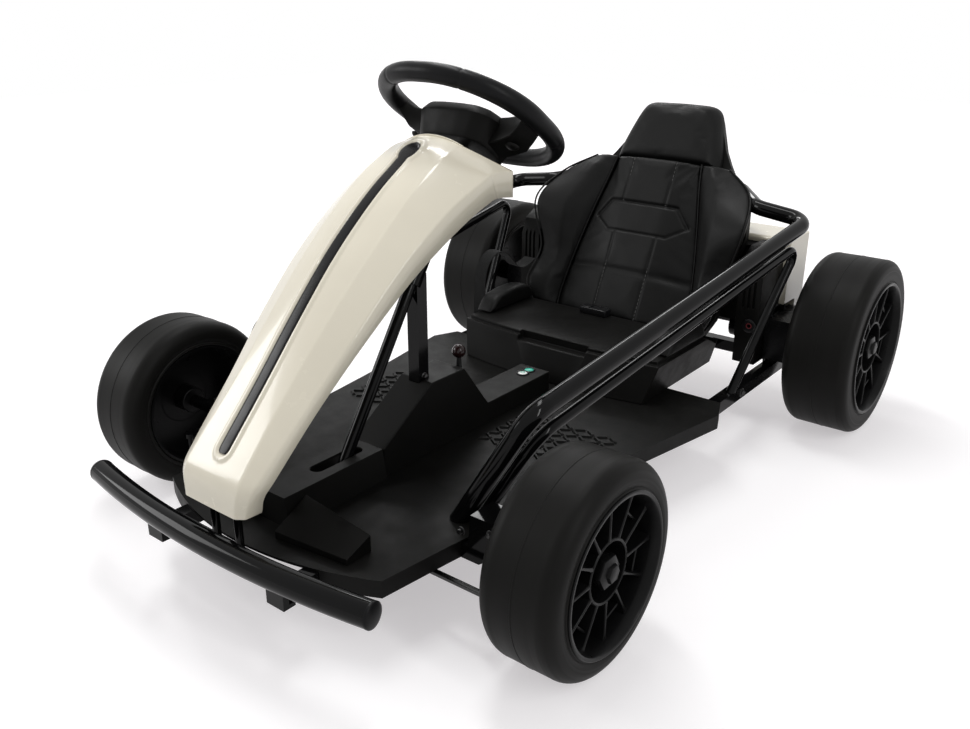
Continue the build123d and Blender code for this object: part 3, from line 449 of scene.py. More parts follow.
def scaled(rgb, share):
    """A colour made darker or lighter."""
    return tuple(min(1.0, c * share) for c in rgb)


def plain_finish(name, rgb, rough, spread, vary, grain, depth, strength, values):
    """A moulded or painted surface: cloudy colour, uneven gloss, fine grain and faint long scuffs."""
    material, tree, shader, at, _ = new_finish(name)
    cloud = mapped(tree, noise(tree, at, 14.0, 4.0), 0.0, 1.0)
    smudge = mapped(tree, noise(tree, at, 38.0, 6.0, 0.6), max(0.02, rough - spread), rough + spread)
    fine = noise(tree, at, grain, 2.0)
    scuff = noise(tree, at, 60.0, 5.0, 0.7, (1.0, 0.12, 1.0))
    heights = [(fine, depth, strength), (scuff, depth * 2, strength * 0.4)]
    dressed(tree, shader, (cloud, rgb, 1 - vary, 1 + vary), smudge, heights, values)
    return material


def leather_finish(name, rgb):
    """Leather-look cover: pebbles from cells, fine creases from noise and cloudy gloss."""
    material, tree, shader, at, _ = new_finish(name)
    wobble = made(tree, "TexNoise", {"Scale": 160.0}, {"Vector": at})
    shift = made(tree, "VectorMath", (), {0: wobble.outputs["Color"], 2: at}, operation="MULTIPLY_ADD")
    shift.inputs[1].default_value = (0.0012, 0.0012, 0.0012)
    sources = {"Vector": shift.outputs["Vector"]}
    cells = made(
        tree, "TexVoronoi", {"Scale": 520.0, "Randomness": 0.95}, sources, feature="DISTANCE_TO_EDGE"
    )
    pebble = mapped(tree, cells.outputs["Distance"], 0.0, 1.0, 0.0, 0.16)
    cloud = mapped(tree, noise(tree, at, 11.0, 3.0), 0.0, 1.0)
    gloss = mapped(tree, noise(tree, at, 24.0, 5.0), 0.4, 0.52)
    heights = [(pebble, 0.00012, 0.45), (noise(tree, at, 75.0, 6.0, 0.62), 0.0004, 0.2)]
    dressed(tree, shader, (cloud, rgb, 0.85, 1.2), gloss, heights, {"Specular IOR Level": 0.13})
    return material


def rubber_finish(name, rgb):
    """Tyre rubber: bands that run round the wheel, cloudy dust and a fine grain.

    The bands are read from the profile's length in V.
    """
    material, tree, shader, at, uv = new_finish(name)
    bands = noise(tree, uv, 26.0, 6.0, 0.7, (0.0, 1.0, 0.0))
    dust = mapped(tree, product(tree, bands, noise(tree, at, 16.0, 4.0)), 0.0, 1.0, 0.12, 0.42)
    heights = [(bands, 0.0002, 0.22), (noise(tree, at, 1400.0, 2.0), 0.00004, 0.35)]
    rough = mapped(tree, bands, 0.42, 0.58)
    dressed(tree, shader, (dust, rgb, 0.8, 1.35), rough, heights, {"Specular IOR Level": 0.09})
    return material


def webbing_finish(name, rgb):
    """Belt webbing: crossed waves in the piece's own UV give the weave's rows and its two ribbed edges."""
    material, tree, shader, at, uv = new_finish(name)
    weave = []
    for direction, scale in (("Y", (0.0, 150.0, 0.0)), ("X", (26.0, 0.0, 0.0))):
        turned_uv = made(tree, "Mapping", {"Scale": scale}, {"Vector": uv}).outputs["Vector"]
        wave = made(tree, "TexWave", {"Scale": 1.0}, {"Vector": turned_uv}, bands_direction=direction)
        weave.append(wave.outputs["Fac"])
    both = product(tree, *weave)
    fuzz = noise(tree, at, 900.0, 3.0)
    rough = mapped(tree, fuzz, 0.62, 0.82)
    values = {"Sheen Weight": 0.05, "Specular IOR Level": 0.12}
    dressed(tree, shader, (both, rgb, 0.6, 1.8), rough, [(both, 0.0004, 0.6), (fuzz, 0.0001, 0.3)], values)
    return material


IVORY_COAT = {"Coat Weight": 0.4, "Coat Roughness": 0.08, "Specular IOR Level": 0.35}
PLAIN_LOOKS = (
    # name, colour, roughness and its spread, colour's spread, grain for each metre, its depth and strength,
    # then the shader's other values
    ("ivory_gloss", "ivory", 0.24, 0.04, 0.02, 420.0, 0.00002, 0.1, IVORY_COAT),
    ("gloss_black", "gloss_black", 0.26, 0.06, 0.1, 700.0, 0.00003, 0.2, {"Specular IOR Level": 0.16}),
    ("matt_black", "plastic_black", 0.44, 0.07, 0.12, 1100.0, 0.00008, 0.5, {"Specular IOR Level": 0.08}),
    ("frame_paint", "frame_black", 0.09, 0.03, 0.1, 500.0, 0.00001, 0.1, {"Specular IOR Level": 0.12}),
    ("rim_black", "rim_black", 0.32, 0.07, 0.12, 800.0, 0.00004, 0.25, {"Specular IOR Level": 0.12}),
    ("soft_black", "gloss_black", 0.36, 0.06, 0.12, 1600.0, 0.00008, 0.4, {"Specular IOR Level": 0.1}),
    ("battery_case", "battery_grey", 0.5, 0.06, 0.1, 900.0, 0.00004, 0.3, {}),
    ("zinc_steel", "zinc", 0.3, 0.1, 0.1, 600.0, 0.00003, 0.3, {"Metallic": 1.0}),
    ("socket_red", "socket_red", 0.3, 0.05, 0.08, 900.0, 0.00004, 0.3, {}),
    ("button_white", "button_white", 0.22, 0.04, 0.02, 500.0, 0.00002, 0.1, {}),
    ("button_green", "button_green", 0.25, 0.04, 0.06, 500.0, 0.00002, 0.1, {}),
    ("knob_dark_red", "knob_red", 0.14, 0.04, 0.1, 400.0, 0.00002, 0.1, {"Specular IOR Level": 0.25}),
    ("thread_grey", "thread_grey", 0.6, 0.08, 0.15, 2500.0, 0.0001, 0.5, {}),
)
FINISHES = {}


class KART_OT_finishes(Operator):
    """Make every finish and put it on the carried-over nodes"""

    bl_idname = "kart.finishes"
    bl_label = "Finishes"

    def execute(self, context):
        c = colours()
        for name, colour_key, *numbers in PLAIN_LOOKS:
            FINISHES[name] = plain_finish(name, tuple(getattr(c, colour_key)), *numbers)
        FINISHES["seat_leather"] = leather_finish("seat_leather", tuple(c.leather_black))
        FINISHES["tyre_rubber"] = rubber_finish("tyre_rubber", tuple(c.tyre_black))
        FINISHES["belt_webbing"] = webbing_finish("belt_webbing", tuple(c.webbing_black))
        for part in frame["record"]["subparts"]:
            node = frame["nodes"][part["node"]]
            node.data.materials.clear()
            node.data.materials.append(FINISHES[part["material_slot"]])
        return {"FINISHED"}


# Nose


COWL_ROWS = (
    # y, z and slope of the ridge, then half width and depth of the flat's edge, the shoulder and the foot
    (-565.0, 157.0, 90.0, 44.0, 0.0, 54.0, 7.0, 56.0, 28.0),
    (-561.0, 188.0, 68.0, 47.0, 0.0, 60.0, 8.0, 64.0, 25.0),
    (-541.0, 214.0, 52.0, 46.0, 0.0, 64.0, 10.0, 70.0, 23.0),
    (-480.0, 277.0, 46.0, 43.0, 0.0, 71.0, 13.0, 76.0, 24.0),
    (-415.0, 345.0, 45.0, 46.0, 0.0, 80.0, 16.0, 85.0, 30.0),
    (-347.0, 411.0, 43.0, 50.0, 1.0, 86.0, 20.0, 90.0, 42.0),
    (-276.0, 470.0, 35.0, 50.0, 2.0, 91.0, 28.0, 95.0, 56.0),
    (-219.0, 505.0, 26.0, 48.0, 4.0, 96.0, 34.0, 98.0, 64.0),
    (-187.0, 519.0, 16.0, 46.0, 8.0, 97.0, 37.0, 98.0, 70.0),
    (-141.0, 523.0, 4.0, 46.0, 10.0, 98.0, 41.0, 98.0, 75.0),
)
COWL_REAR = ((0.0, -184.0), (46.0, -178.0), (70.0, -168.0), (92.0, -147.0), (98.0, -139.0))
STRIP_START_Y = -543.0
STRIP_END_Y = -222.5
STRIP_HALF = 8.6
OVAL_HALF = 13.5
OVAL_LEN = 17.0
CROWN_RISE = 7.0
CROWN_Y = -350.0
CROWN_SPREAD = 120.0
CREASE_R = (2.6, 2.2)
COWL_WALL = 3.2
# The lip round the strip: distances from its edge and how far the skin stands up there
LIP = ((-1.2, 0.0, 1.2, 3.0, 5.6, 7.4), (-2.4, -0.6, 1.2, 1.7, 1.5, 0.0))
HOOD_RISE, HOOD_AHEAD, HOOD_SPREAD, HOOD_SIDE = 4.0, 8.0, 28.0, 15.0
SEAM_Y, SEAM_DEPTH, SEAM_HALF = -191.0, 1.1, 1.6
STRIP_GAP, STRIP_LEAST, STRIP_RISE = 0.35, 0.6, 3.6


def ridge_table(count):
    """Rows of the cowl, spaced evenly along the ridge, with the distance along it."""
    rows = spline_rows(COWL_ROWS, 40 * (len(COWL_ROWS) - 1) + 1)
    step = np.hypot(np.diff(rows[:, 0]), np.diff(rows[:, 1]))
    along = np.concatenate([[0], np.cumsum(step)])
    at = np.linspace(0, along[-1], count)
    out = np.stack([np.interp(at, along, rows[:, k]) for k in range(rows.shape[1])], -1)
    rise = bell(out[:, 0] - CROWN_Y, CROWN_SPREAD, CROWN_RISE)
    slope = np.radians(out[:, 2])
    out[:, 0] -= np.sin(slope) * rise
    out[:, 1] += np.cos(slope) * rise
    out[:, 4:9:2] += rise[:, None]
    return out, at


def strip_distance(x, s, start, end):
    """How far a point is outside the strip: the nearer of a long round-ended slot and an oval at its top."""
    beyond = np.maximum(start - s, 0) + np.maximum(s - end, 0)
    slot = np.hypot(x, beyond) - STRIP_HALF
    oval = (np.sqrt((x / OVAL_HALF) ** 2 + ((s - end) / OVAL_LEN) ** 2) - 1) * OVAL_HALF
    return np.minimum(slot, oval)


def cowl_points(rows, x_share, depth):
    """Points of the cowl from its rows: x across, depth square to the ridge, downwards and to the rear."""
    rise = np.radians(rows[:, 2])[:, None]
    y = rows[:, 0][:, None] + np.sin(rise) * depth
    z = rows[:, 1][:, None] - np.cos(rise) * depth
    return np.stack([x_share, y, z], -1)


class KART_OT_nose(Operator):
    """Make the nose cowl with its raised lip, and the dark strip in it"""

    bl_idname = "kart.nose"
    bl_label = "Nose cowl and strip"

    def execute(self, context):
        rows, s = ridge_table(190)
        start = float(np.interp(STRIP_START_Y, rows[:, 0], s)) + STRIP_HALF
        end = float(np.interp(STRIP_END_Y, rows[:, 0], s))
        line = np.stack([np.zeros((len(rows), 2)), rows[:, 3:5], rows[:, 5:7], rows[:, 7:9]], 1)
        half = rounded_line(line, (0, *CREASE_R, 0), 7)
        flat_x = np.linspace(0, 1, 34)
        inner = half[:, :1] + (half[:, 1:2] - half[:, :1]) * flat_x[None, :, None]
        inner[..., 1] = half[:, 1:2, 1] * flat_x**2
        half = np.concatenate([inner, half[:, 2:]], 1)
        x, depth = half[..., 0], half[..., 1].copy()
        away = strip_distance(x, s[:, None], start, end)
        near_top = bell(s[:, None] - end - HOOD_AHEAD, HOOD_SPREAD)
        lip = np.interp(away, *LIP)
        hood = near_top * bell(np.maximum(away, 0), HOOD_SIDE, HOOD_RISE) * (away > -0.5)
        depth -= lip + hood
        seam_s = float(np.interp(SEAM_Y, rows[:, 0], s))
        on_side = np.clip((x - rows[:, 5][:, None] * 0.8) / 10, 0, 1)
        x = x - on_side * bell(s[:, None] - seam_s, SEAM_HALF, SEAM_DEPTH)
        points = cowl_points(rows, x, depth)
        floor = points[:1].copy()
        floor[..., 1] = rows[0, 0] + rows[0, 8]
        points = np.concatenate([floor, points], 0)
        edge = np.asarray(COWL_REAR)
        limit = np.interp(np.abs(points[..., 0]), edge[:, 0], edge[:, 1])
        points[..., 1] = np.minimum(points[..., 1], limit)
        full = np.concatenate([points[:, ::-1] * [-1, 1, 1], points[:, 1:]], 1)
        cowl = piece("nose_cowl_skin", skin(full), "ivory_gloss", ("nose_cowl",), sharp=40, clean=False)
        tidy_mesh(cowl.data, 42, MERGE)
        middle = cowl.data.polygons[len(cowl.data.polygons) // 2]
        if middle.normal.z < 0:
            cowl.data.flip_normals()
        add_modifier(cowl, "SOLIDIFY", thickness=COWL_WALL * MM, offset=-1.0)

        near = (s > start - STRIP_HALF - 0.5) & (s < end + OVAL_LEN + 0.5)
        inside, at = rows[near], s[near]
        slot = np.sqrt(np.clip(STRIP_HALF**2 - np.maximum(start - at, 0) ** 2, 0, None)) * (at <= end)
        oval = OVAL_HALF * np.sqrt(np.clip(1 - ((at - end) / OVAL_LEN) ** 2, 0, None))
        width = np.maximum(slot, oval) - STRIP_GAP
        keep = width > STRIP_LEAST
        inside, at, width = inside[keep], at[keep], width[keep]
        across = np.array([-1.0, -1.0, -0.93, -0.6, -0.2, 0.2, 0.6, 0.93, 1.0, 1.0])
        drop = np.array([2.2, 0.5, 0.0, -0.25, -0.35, -0.35, -0.25, 0.0, 0.5, 2.2])
        top = bell(at - end - HOOD_AHEAD, HOOD_SPREAD, STRIP_RISE)
        depth = 0.1 + drop[None] - top[:, None]
        shell = closed_skin(cowl_points(inside, width[:, None] * across[None], depth))
        piece("nose_strip_inlay", shell, "gloss_black", ("nose_strip",), sharp=50)
        return {"FINISHED"}


# Wheels


WHEELS = (
    # end, x, y, radius, width, shoulder, rim radius
    ("front", 352.0, -353.0, 123.5, 96.0, 19.0, 93.8),
    ("rear", 359.0, 447.0, 145.5, 107.0, 16.0, 110.0),
)
RIM_STEP, RIM_WALL, RIM_PROUD, BEAD_GAP = 4.5, 3.5, 2.8, 0.3
RIB_COUNT, RIB_SETBACK = 12, 13.0
HUB_SHARE, WEB_SHARE = 0.36, 0.7


def wheel_place(side, x, y, radius):
    """The matrix that sets a wheel, drawn with its outer face towards +X, at its place."""
    return frame_matrix((side * x, y, radius), (side, 0, 0), (0, side, 0), (0, 0, 1))


def tyre_profile(radius, width, shoulder, bore):
    """The tyre's outer line from its inner bead round to its outer bead, as x and radius."""
    half = width / 2
    angle = np.linspace(0, np.pi / 2, 12)
    arc = np.stack(
        [half - shoulder + shoulder * np.cos(angle), radius - shoulder + shoulder * np.sin(angle)], -1
    )
    bead = np.array([
        (half - 9, bore), (half - 1.6, bore + 0.2), (half - 0.2, bore + 1.2), (half + 0.5, bore + 3.2),
        (half - 0.1, bore + 5.0), (half - 1.1, bore + 5.8), (half - 1.1, bore + 6.6), (half - 0.2, bore + 7.6)
    ])
    wall = np.array([(half + 0.2, radius - shoulder - 2.0)])
    tread_x = np.array([half - shoulder - 2, half * 0.42, half * 0.2, 3.0, 1.0, 0.5])
    crown = 0.7 * (1 - (tread_x / half) ** 2)
    tread = np.stack([tread_x, radius - 0.7 + crown + np.array([0.1, 0, 0, 0, 0.0, 0.45])], -1)
    return mirrored(np.vstack([bead, wall, arc, tread]))


def set_uv(obj, uv_at):
    """A UV map: each corner of a face gets what uv_at gives for the number of its vertex."""
    layer = obj.data.uv_layers.new(name="UVMap")
    index = np.zeros(len(obj.data.loops), np.int32)
    obj.data.loops.foreach_get("vertex_index", index)
    layer.data.foreach_set("uv", uv_at(index).astype(np.float32).ravel())


class KART_OT_tyres(Operator):
    """Make the four tyres with their mould line, shoulders and bead rings"""

    bl_idname = "kart.tyres"
    bl_label = "Tyres"

    def execute(self, context):
        sides = sizes().wheel_sides
        for end, x, y, radius, width, shoulder, rim_r in WHEELS:
            profile = tyre_profile(radius, width, shoulder, rim_r - RIM_STEP + BEAD_GAP)
            cols = len(profile)

            def round_and_along(i):
                return np.stack([(i // cols) / sides, (i % cols) / cols], -1)

            for name, side in (("left", 1), ("right", -1)):
                shell = placed(turned(profile, sides), wheel_place(side, x, y, radius))
                obj = piece(
                    f"tyre_{end}_{name}_rubber", shell, "tyre_rubber", (f"tyre_{end}_{name}",),
                    body=f"wheel_{end}_{name}", clean=False
                )
                set_uv(obj, round_and_along)
                tidy_mesh(obj.data, 38)
        return {"FINISHED"}


def rib_shell(inner_r, outer_r, low_x, high_x, width):
    """One rib: a bar with a rounded front edge, wider at both ends, along Z."""
    stations = np.array([0.0, 0.06, 0.2, 0.5, 0.8, 0.93, 1.0])
    spread = np.array([2.3, 1.6, 1.1, 1.0, 1.1, 1.7, 2.6])
    turn = np.linspace(0, np.pi, 7)
    across = np.concatenate([[1.0], np.cos(turn), [-1.0]])
    front = np.concatenate([[low_x], high_x - width / 2 + width / 2 * np.sin(turn), [low_x]])
    r = inner_r + (outer_r - inner_r) * stations
    rows = np.stack(
        [
            np.broadcast_to(front, (len(r), len(front))),
            spread[:, None] * across[None] * width / 2,
            np.broadcast_to(r[:, None], (len(r), len(front))),
        ],
        -1,
    )
    return closed_skin(rows)


def turn_x(angle):
    """A turn about X by an angle in radians."""
    out = np.eye(4)
    out[1:3, 1:3] = [[math.cos(angle), -math.sin(angle)], [math.sin(angle), math.cos(angle)]]
    return out


def rim_shell(width, rim_r, sides, rib_w):
    """A rim: turned barrel, dish and hub ring, twelve ribs, cross webs and a six-sided cap."""
    barrel = rim_r - RIM_STEP
    inner = barrel - RIM_WALL
    half, face = width / 2, width / 2 + RIM_PROUD
    ring_r, rib_x = rim_r * HUB_SHARE, face - RIB_SETBACK
    lip = [
        (-half, inner), (-half, barrel), (half - 2, barrel), (half + 0.2, barrel + 0.4),
        (half + 0.4, rim_r - 0.6), (half + 1.2, rim_r), (face - 0.9, rim_r - 0.1), (face, rim_r - 1.2),
        (face + 0.1, rim_r - 3.0), (face - 0.6, rim_r - 4.6), (face - 2.2, rim_r - 5.6),
        (rib_x + 2, inner + 0.6), (rib_x, inner), (9.0, inner - 0.6), (8.0, inner - 1.6),
        (7.6, ring_r + 7.0), (6.0, ring_r + 4.0), (4.0, ring_r + 4.0), (4.0, inner - 1.0),
        (0.0, inner), (-half + 1, inner),
    ]
    hub = [
        (-22.0, 7.2), (-22.0, 18.0), (-21.0, 19.0), (4.0, 19.0), (4.0, ring_r + 5), (7.5, ring_r + 5),
        (8.0, ring_r + 4.4), (rib_x - 1, ring_r + 4.0), (rib_x, ring_r + 3.2), (rib_x + 0.3, ring_r + 2.0),
        (rib_x - 0.4, ring_r + 0.6), (rib_x - 3, ring_r), (9.0, ring_r), (8.0, ring_r - 1.0), (8.0, 20.0),
        (9.0, 19.0), (rib_x - 3, 18.0), (rib_x - 3, 2.0)
    ]
    parts = [turned(lip, sides), turned(hub, sides, wrap=False)]
    step = 2 * math.pi / RIB_COUNT
    places = np.stack([turn_x(step * i) for i in range(RIB_COUNT)])
    parts.append(copies(*rib_shell(ring_r + 1.2, inner + 1.0, 7.0, rib_x, rib_w), places))
    reach = rim_r * WEB_SHARE
    bay = reach * math.tan(step / 2) + 0.8
    web = np.array([[
        [7.0, -bay, reach - 1.5], [rib_x - 5, -bay, reach - 1.5], [rib_x - 4, -bay, reach],
        [rib_x - 5, -bay, reach + 1.5], [7.0, -bay, reach + 1.5]
    ]])
    web = closed_skin(np.concatenate([web, web * [1, -1, 1]], 0))
    places = np.stack([turn_x(step * (2 * i + 0.5)) for i in range(RIB_COUNT // 2)])
    parts.append(copies(*web, places))
    levels = [
        (rib_x - 5, 20.5), (rib_x - 1, 20.5), (rib_x + 1.2, 19.4), (rib_x + 3.6, 12.4), (rib_x + 3.6, 11.6),
        (rib_x + 4.8, 11.2), (rib_x + 7.0, 10.2), (rib_x + 7.4, 9.4)
    ]
    parts.append(closed_skin(spun(levels, 6)))
    return joined(*parts)


class KART_OT_rims(Operator):
    """Make the four rims with their thin ribs, webs, hub ring and cap"""

    bl_idname = "kart.rims"
    bl_label = "Rims"

    def execute(self, context):
        for end, x, y, radius, width, _, rim_r in WHEELS:
            shell = rim_shell(width, rim_r, 96, sizes().rib_width / MM)
            for name, side in (("left", 1), ("right", -1)):
                piece(
                    f"rim_{end}_{name}_moulding", placed(shell, wheel_place(side, x, y, radius)), "rim_black",
                    (f"rim_{end}_{name}",), body=f"wheel_{end}_{name}", sharp=32
                )
        return {"FINISHED"}


# Steering wheel


GRIP = dict(side=112.0, fore=119.0, rear=114.0, corner=104.0, r=12.4)
# The grip's joint lines and its thicker part at the palms, by angle in degrees round the column
JOINT_ANGLES, JOINT_REACH, JOINT_DEPTH = (-27.0, 27.0, -112.0, 112.0), 0.8, 0.8
PALM_ANGLE, PALM_REACH, PALM_SWELL = 62, 26, 0.9
HUB_OUTLINE = ((17, 52), (42, 49), (58, 38), (64, 16), (58, -24), (44, -50), (22, -58))
HUB_LEVELS = (
    (-46.0, 0.80), (-45.0, 0.84), (-42.0, 0.87), (-16.0, 0.985), (-13.0, 1.0), (-10.0, 0.985),
    (-4.0, 0.93), (-2.0, 0.9), (-1.5, 0.86), (-3.0, 0.6),
)
SPOKE_ROWS = (
    # x, rear edge, front edge, underside, top
    (44.0, -26.0, 19.0, -44.0, -4.0),
    (56.0, -24.0, 19.0, -41.0, -3.5),
    (72.0, -24.0, 20.0, -35.0, -2.0),
    (86.0, -24.0, 22.0, -29.0, 0.0),
    (97.0, -17.0, 27.0, -19.0, 3.5),
    (106.0, -10.0, 34.0, -10.0, 6.5),
)


def grip_line(count, grow=0.0):
    """The ring's centre line: a rectangle with large round corners, spaced evenly."""
    side, top, foot, corner = (GRIP[key] + grow for key in ("side", "fore", "rear", "corner"))
    angle = np.linspace(0, np.pi / 2, 24)
    turn = np.stack([np.cos(angle), np.sin(angle)], -1) * corner
    quarters = []
    for sx, sy, y in ((1, 1, top), (-1, 1, top), (-1, -1, foot), (1, -1, foot)):
        arc = turn if sx * sy > 0 else turn[::-1]
        quarters.append(arc * [sx, sy] + [sx * (side - corner), sy * (y - corner)])
    line = resampled(np.vstack(quarters), count, closed=True)
    return np.concatenate([line, np.zeros((count, 1))], 1)


class KART_OT_steering(Operator):
    """Make the steering wheel's grip with its joint lines, and the deep hub with its spokes"""

    bl_idname = "kart.steering"
    bl_label = "Steering wheel"

    def execute(self, context):
        path = grip_line(360)
        radius = np.full(len(path), GRIP["r"])
        angle = np.degrees(np.arctan2(path[:, 0], path[:, 1]))
        for joint in JOINT_ANGLES:
            radius -= bell(angle - joint, JOINT_REACH, JOINT_DEPTH)
        radius += bell(np.abs(angle) - PALM_ANGLE, PALM_REACH, PALM_SWELL)
        shell = placed(swept(path, radius, 28, (0, 0, 1), closed=True), COLUMN_FRAME)
        piece("steering_grip", shell, "soft_black", ("steering_ring",), body="steering", sharp=60)

        outline = rounded_line(mirrored(HUB_OUTLINE), 6.0, 5, closed=True)
        parts = [closed_skin(levelled(outline, HUB_LEVELS))]
        for side in (-1, 1):
            x, low, high, under, over = np.array(SPOKE_ROWS).T
            corners = ((low, under), (high, under), (high, over), (low, over))
            cross = np.stack([np.stack(corner, -1) for corner in corners], 1)
            cross = rounded_line(cross, 3.5, 4, closed=True)
            across = np.broadcast_to((side * x)[:, None, None], cross.shape[:2] + (1,))
            rows = np.concatenate([across, cross], -1)
            parts.append(closed_skin(rows))
        angle = np.linspace(0, np.pi, 12)
        button = turned(np.stack([6.0 * np.sin(angle / 2), 10.0 * np.cos(angle / 2)], -1), 28, wrap=False)
        for side in (-1, 1):
            at = frame_matrix((side * 80.0, 2.0, -32.0), (0, 0, -1), (0, 1, 0), (1, 0, 0))
            parts.append(placed(button, at))
        piece(
            "steering_hub_pad", placed(joined(*parts), COLUMN_FRAME), "gloss_black", ("steering_hub",),
            body="steering", look="matt_black", sharp=30
        )
        plate = rounded_line([(-30, -34), (30, -34), (40, 18), (0, 34), (-40, 18)], 7.0, 6, closed=True)
        levels = ((-3.0, 1.0), (-0.8, 1.0), (0.0, 0.96), (0.2, 0.5))
        piece(
            "steering_hub_cap", placed(closed_skin(levelled(plate, levels)), COLUMN_FRAME), "gloss_black",
            body="steering", sharp=35
        )
        return {"FINISHED"}


# Seat


BACK_ROWS = (
    # u, panel edge and its set-back, wing's outer edge and its set-back
    (5.0, 128.0, -19.0, 166.0, 9.0),
    (42.0, 129.0, -20.0, 183.0, 19.0),
    (108.0, 121.0, -18.0, 184.0, 2.0),
    (188.0, 106.0, -14.0, 205.0, 30.0),
    (254.0, 91.0, -12.0, 184.0, -2.0),
    (298.0, 83.0, -12.0, 130.0, -20.0),
)
CLOTH_FRAMES = 20
CLOTH = dict(
    quality=5, mass=0.3, tension_stiffness=20, compression_stiffness=20, bending_stiffness=4,
    use_pressure=True, uniform_pressure_force=4.0,
)


def coords(mesh):
    """The points of a mesh (n, 3), in metres."""
    co = np.zeros(len(mesh.vertices) * 3)
    mesh.vertices.foreach_get("co", co)
    return co.reshape(-1, 3)


def simulated(obj, cap, pinned):
    """Lets a closed pad swell as cloth under pressure, frame by frame.

    Its pinned points are held, and no point moves further than the cap, in metres.
    """
    scene = bpy.context.scene
    rest = coords(obj.data)
    group = obj.vertex_groups.new(name="held")
    held = np.flatnonzero(pinned(rest / MM))
    group.add(held.tolist(), 1.0, "REPLACE")
    cloth = obj.modifiers.new("Cloth", "CLOTH")
    for key, value in CLOTH.items():
        setattr(cloth.settings, key, value)
    cloth.settings.effector_weights.gravity = 0.0
    cloth.settings.vertex_group_mass = group.name
    cloth.point_cache.frame_start = 1
    cloth.point_cache.frame_end = CLOTH_FRAMES
    scene.frame_start, scene.frame_end = 1, CLOTH_FRAMES
    for step in range(1, CLOTH_FRAMES + 1):
        scene.frame_set(step)
    graph = bpy.context.evaluated_depsgraph_get()
    result = obj.evaluated_get(graph).to_mesh()
    moved = coords(result)
    obj.evaluated_get(graph).to_mesh_clear()
    obj.modifiers.remove(cloth)
    obj.vertex_groups.remove(group)
    shift = moved - rest
    length = np.linalg.norm(shift, axis=1, keepdims=True)
    shift *= np.minimum(1.0, cap / np.maximum(length, 1e-9))
    obj.data.vertices.foreach_set("co", (rest + shift).ravel())
    obj.data.update()
    scene.frame_set(1)


def applied(obj):
    """The piece's mesh with its modifiers applied."""
    graph = bpy.context.evaluated_depsgraph_get()
    mesh = bpy.data.meshes.new_from_object(obj.evaluated_get(graph))
    obj.modifiers.clear()
    old = obj.data
    obj.data = mesh
    bpy.data.meshes.remove(old)


PAD_VOXEL = 4.0


def padded(name, shell, node, cap, pinned, groove=None):
    """A leather pad from a closed shell: remeshed, swelled, subdivided, its sewn lines pressed in last."""
    obj = piece(name, shell, "seat_leather", (node,))
    add_modifier(obj, "REMESH", mode="VOXEL", voxel_size=PAD_VOXEL * MM, use_smooth_shade=True)
    applied(obj)
    simulated(obj, cap, pinned)
    add_modifier(obj, "SMOOTH", factor=0.5, iterations=3)
    add_modifier(obj, "SUBSURF", levels=1, render_levels=1)
    applied(obj)
    if groove is not None:
        co = coords(obj.data) / MM
        co -= groove(co)[:, None] * BACK_OUT
        obj.data.vertices.foreach_set("co", (co * MM).ravel())
    obj.data.shade_smooth()
    obj.data.update()
    return obj


def back_coords(points):
    """x, u and n of points of the seat back."""
    rel = points - BACK_FOOT
    return rel[:, 0], rel @ BACK_UP, rel @ BACK_OUT


def line_distance(x, u, line):
    """Distance of points from a line of points on the seat back."""
    line = np.asarray(line, float)
    best = np.full(x.shape, 1e9)
    for (x0, u0), (x1, u1) in zip(line[:-1], line[1:]):
        d = np.array([x1 - x0, u1 - u0])
        t = np.clip(((x - x0) * d[0] + (u - u0) * d[1]) / (d @ d), 0, 1)
        best = np.minimum(best, np.hypot(x - x0 - t * d[0], u - u0 - t * d[1]))
    return best


STITCH_X = 42.0
HEX_TOP = ((-90.0, 184.0), (-66.0, 214.0), (66.0, 214.0), (90.0, 184.0))
HEX_LOW = ((-88.0, 181.0), (-58.0, 160.0), (58.0, 160.0), (88.0, 181.0))
FOLD_U = 90.0
BAND_U, BAND_X = (158, 216), 92
# Reach and depth of the sewn lines
SEAM_DENT, TOP_DENT, LOW_DENT, FOLD_DENT = (2.2, 1.6), (3.0, 4.2), (2.4, 2.4), (7.0, 2.6)


def panel_groove(points):
    """Depth of the panel's sewn lines: two long seams, the hexagon and one soft fold."""
    x, u, n = back_coords(points)
    front = np.clip((n + 24) / 6, 0, 1)
    in_band = (u > BAND_U[0]) & (u < BAND_U[1]) & (np.abs(x) < BAND_X)
    seam = np.where(in_band, 0.0, bell(np.abs(x) - STITCH_X, *SEAM_DENT))
    top = bell(line_distance(x, u, HEX_TOP), *TOP_DENT)
    low = bell(line_distance(x, u, HEX_LOW), *LOW_DENT)
    return front * (seam + top + low + bell(u - FOLD_U, *FOLD_DENT))


BACK_LOW, BACK_TOP, PAD_REAR = 5.0, 298.0, -26.0
CROWN_X, CROWN_POWER = 40, 1.3


def back_columns(count):
    """Evenly spaced heights u, then the panel's edge and the wing's edge there, each with its set-back."""
    rows = spline_rows(BACK_ROWS, count)
    u = np.linspace(BACK_LOW, BACK_TOP, count)
    return (u, *(np.interp(u, rows[:, 0], rows[:, k]) for k in range(1, 5)))


def panel_shell():
    """The centre panel: across, a flat crown that falls to its edges, carried up the back."""
    u, edge, edge_n, _, _ = (column[:, None] for column in back_columns(60))
    share = np.linspace(-1, 1, 41)
    crown = np.clip((np.abs(share) * edge - CROWN_X) / (edge - CROWN_X), 0, 1)
    n = edge_n * crown**CROWN_POWER
    n = n - 3.0 * np.clip((np.abs(share) - 0.95) / 0.05, 0, 1) ** 2
    x = share * edge
    front = back_point(x, u, n)
    back = back_point(x[:, ::-1], u, np.full_like(n, PAD_REAR))
    return closed_skin(np.concatenate([front, back], 1))


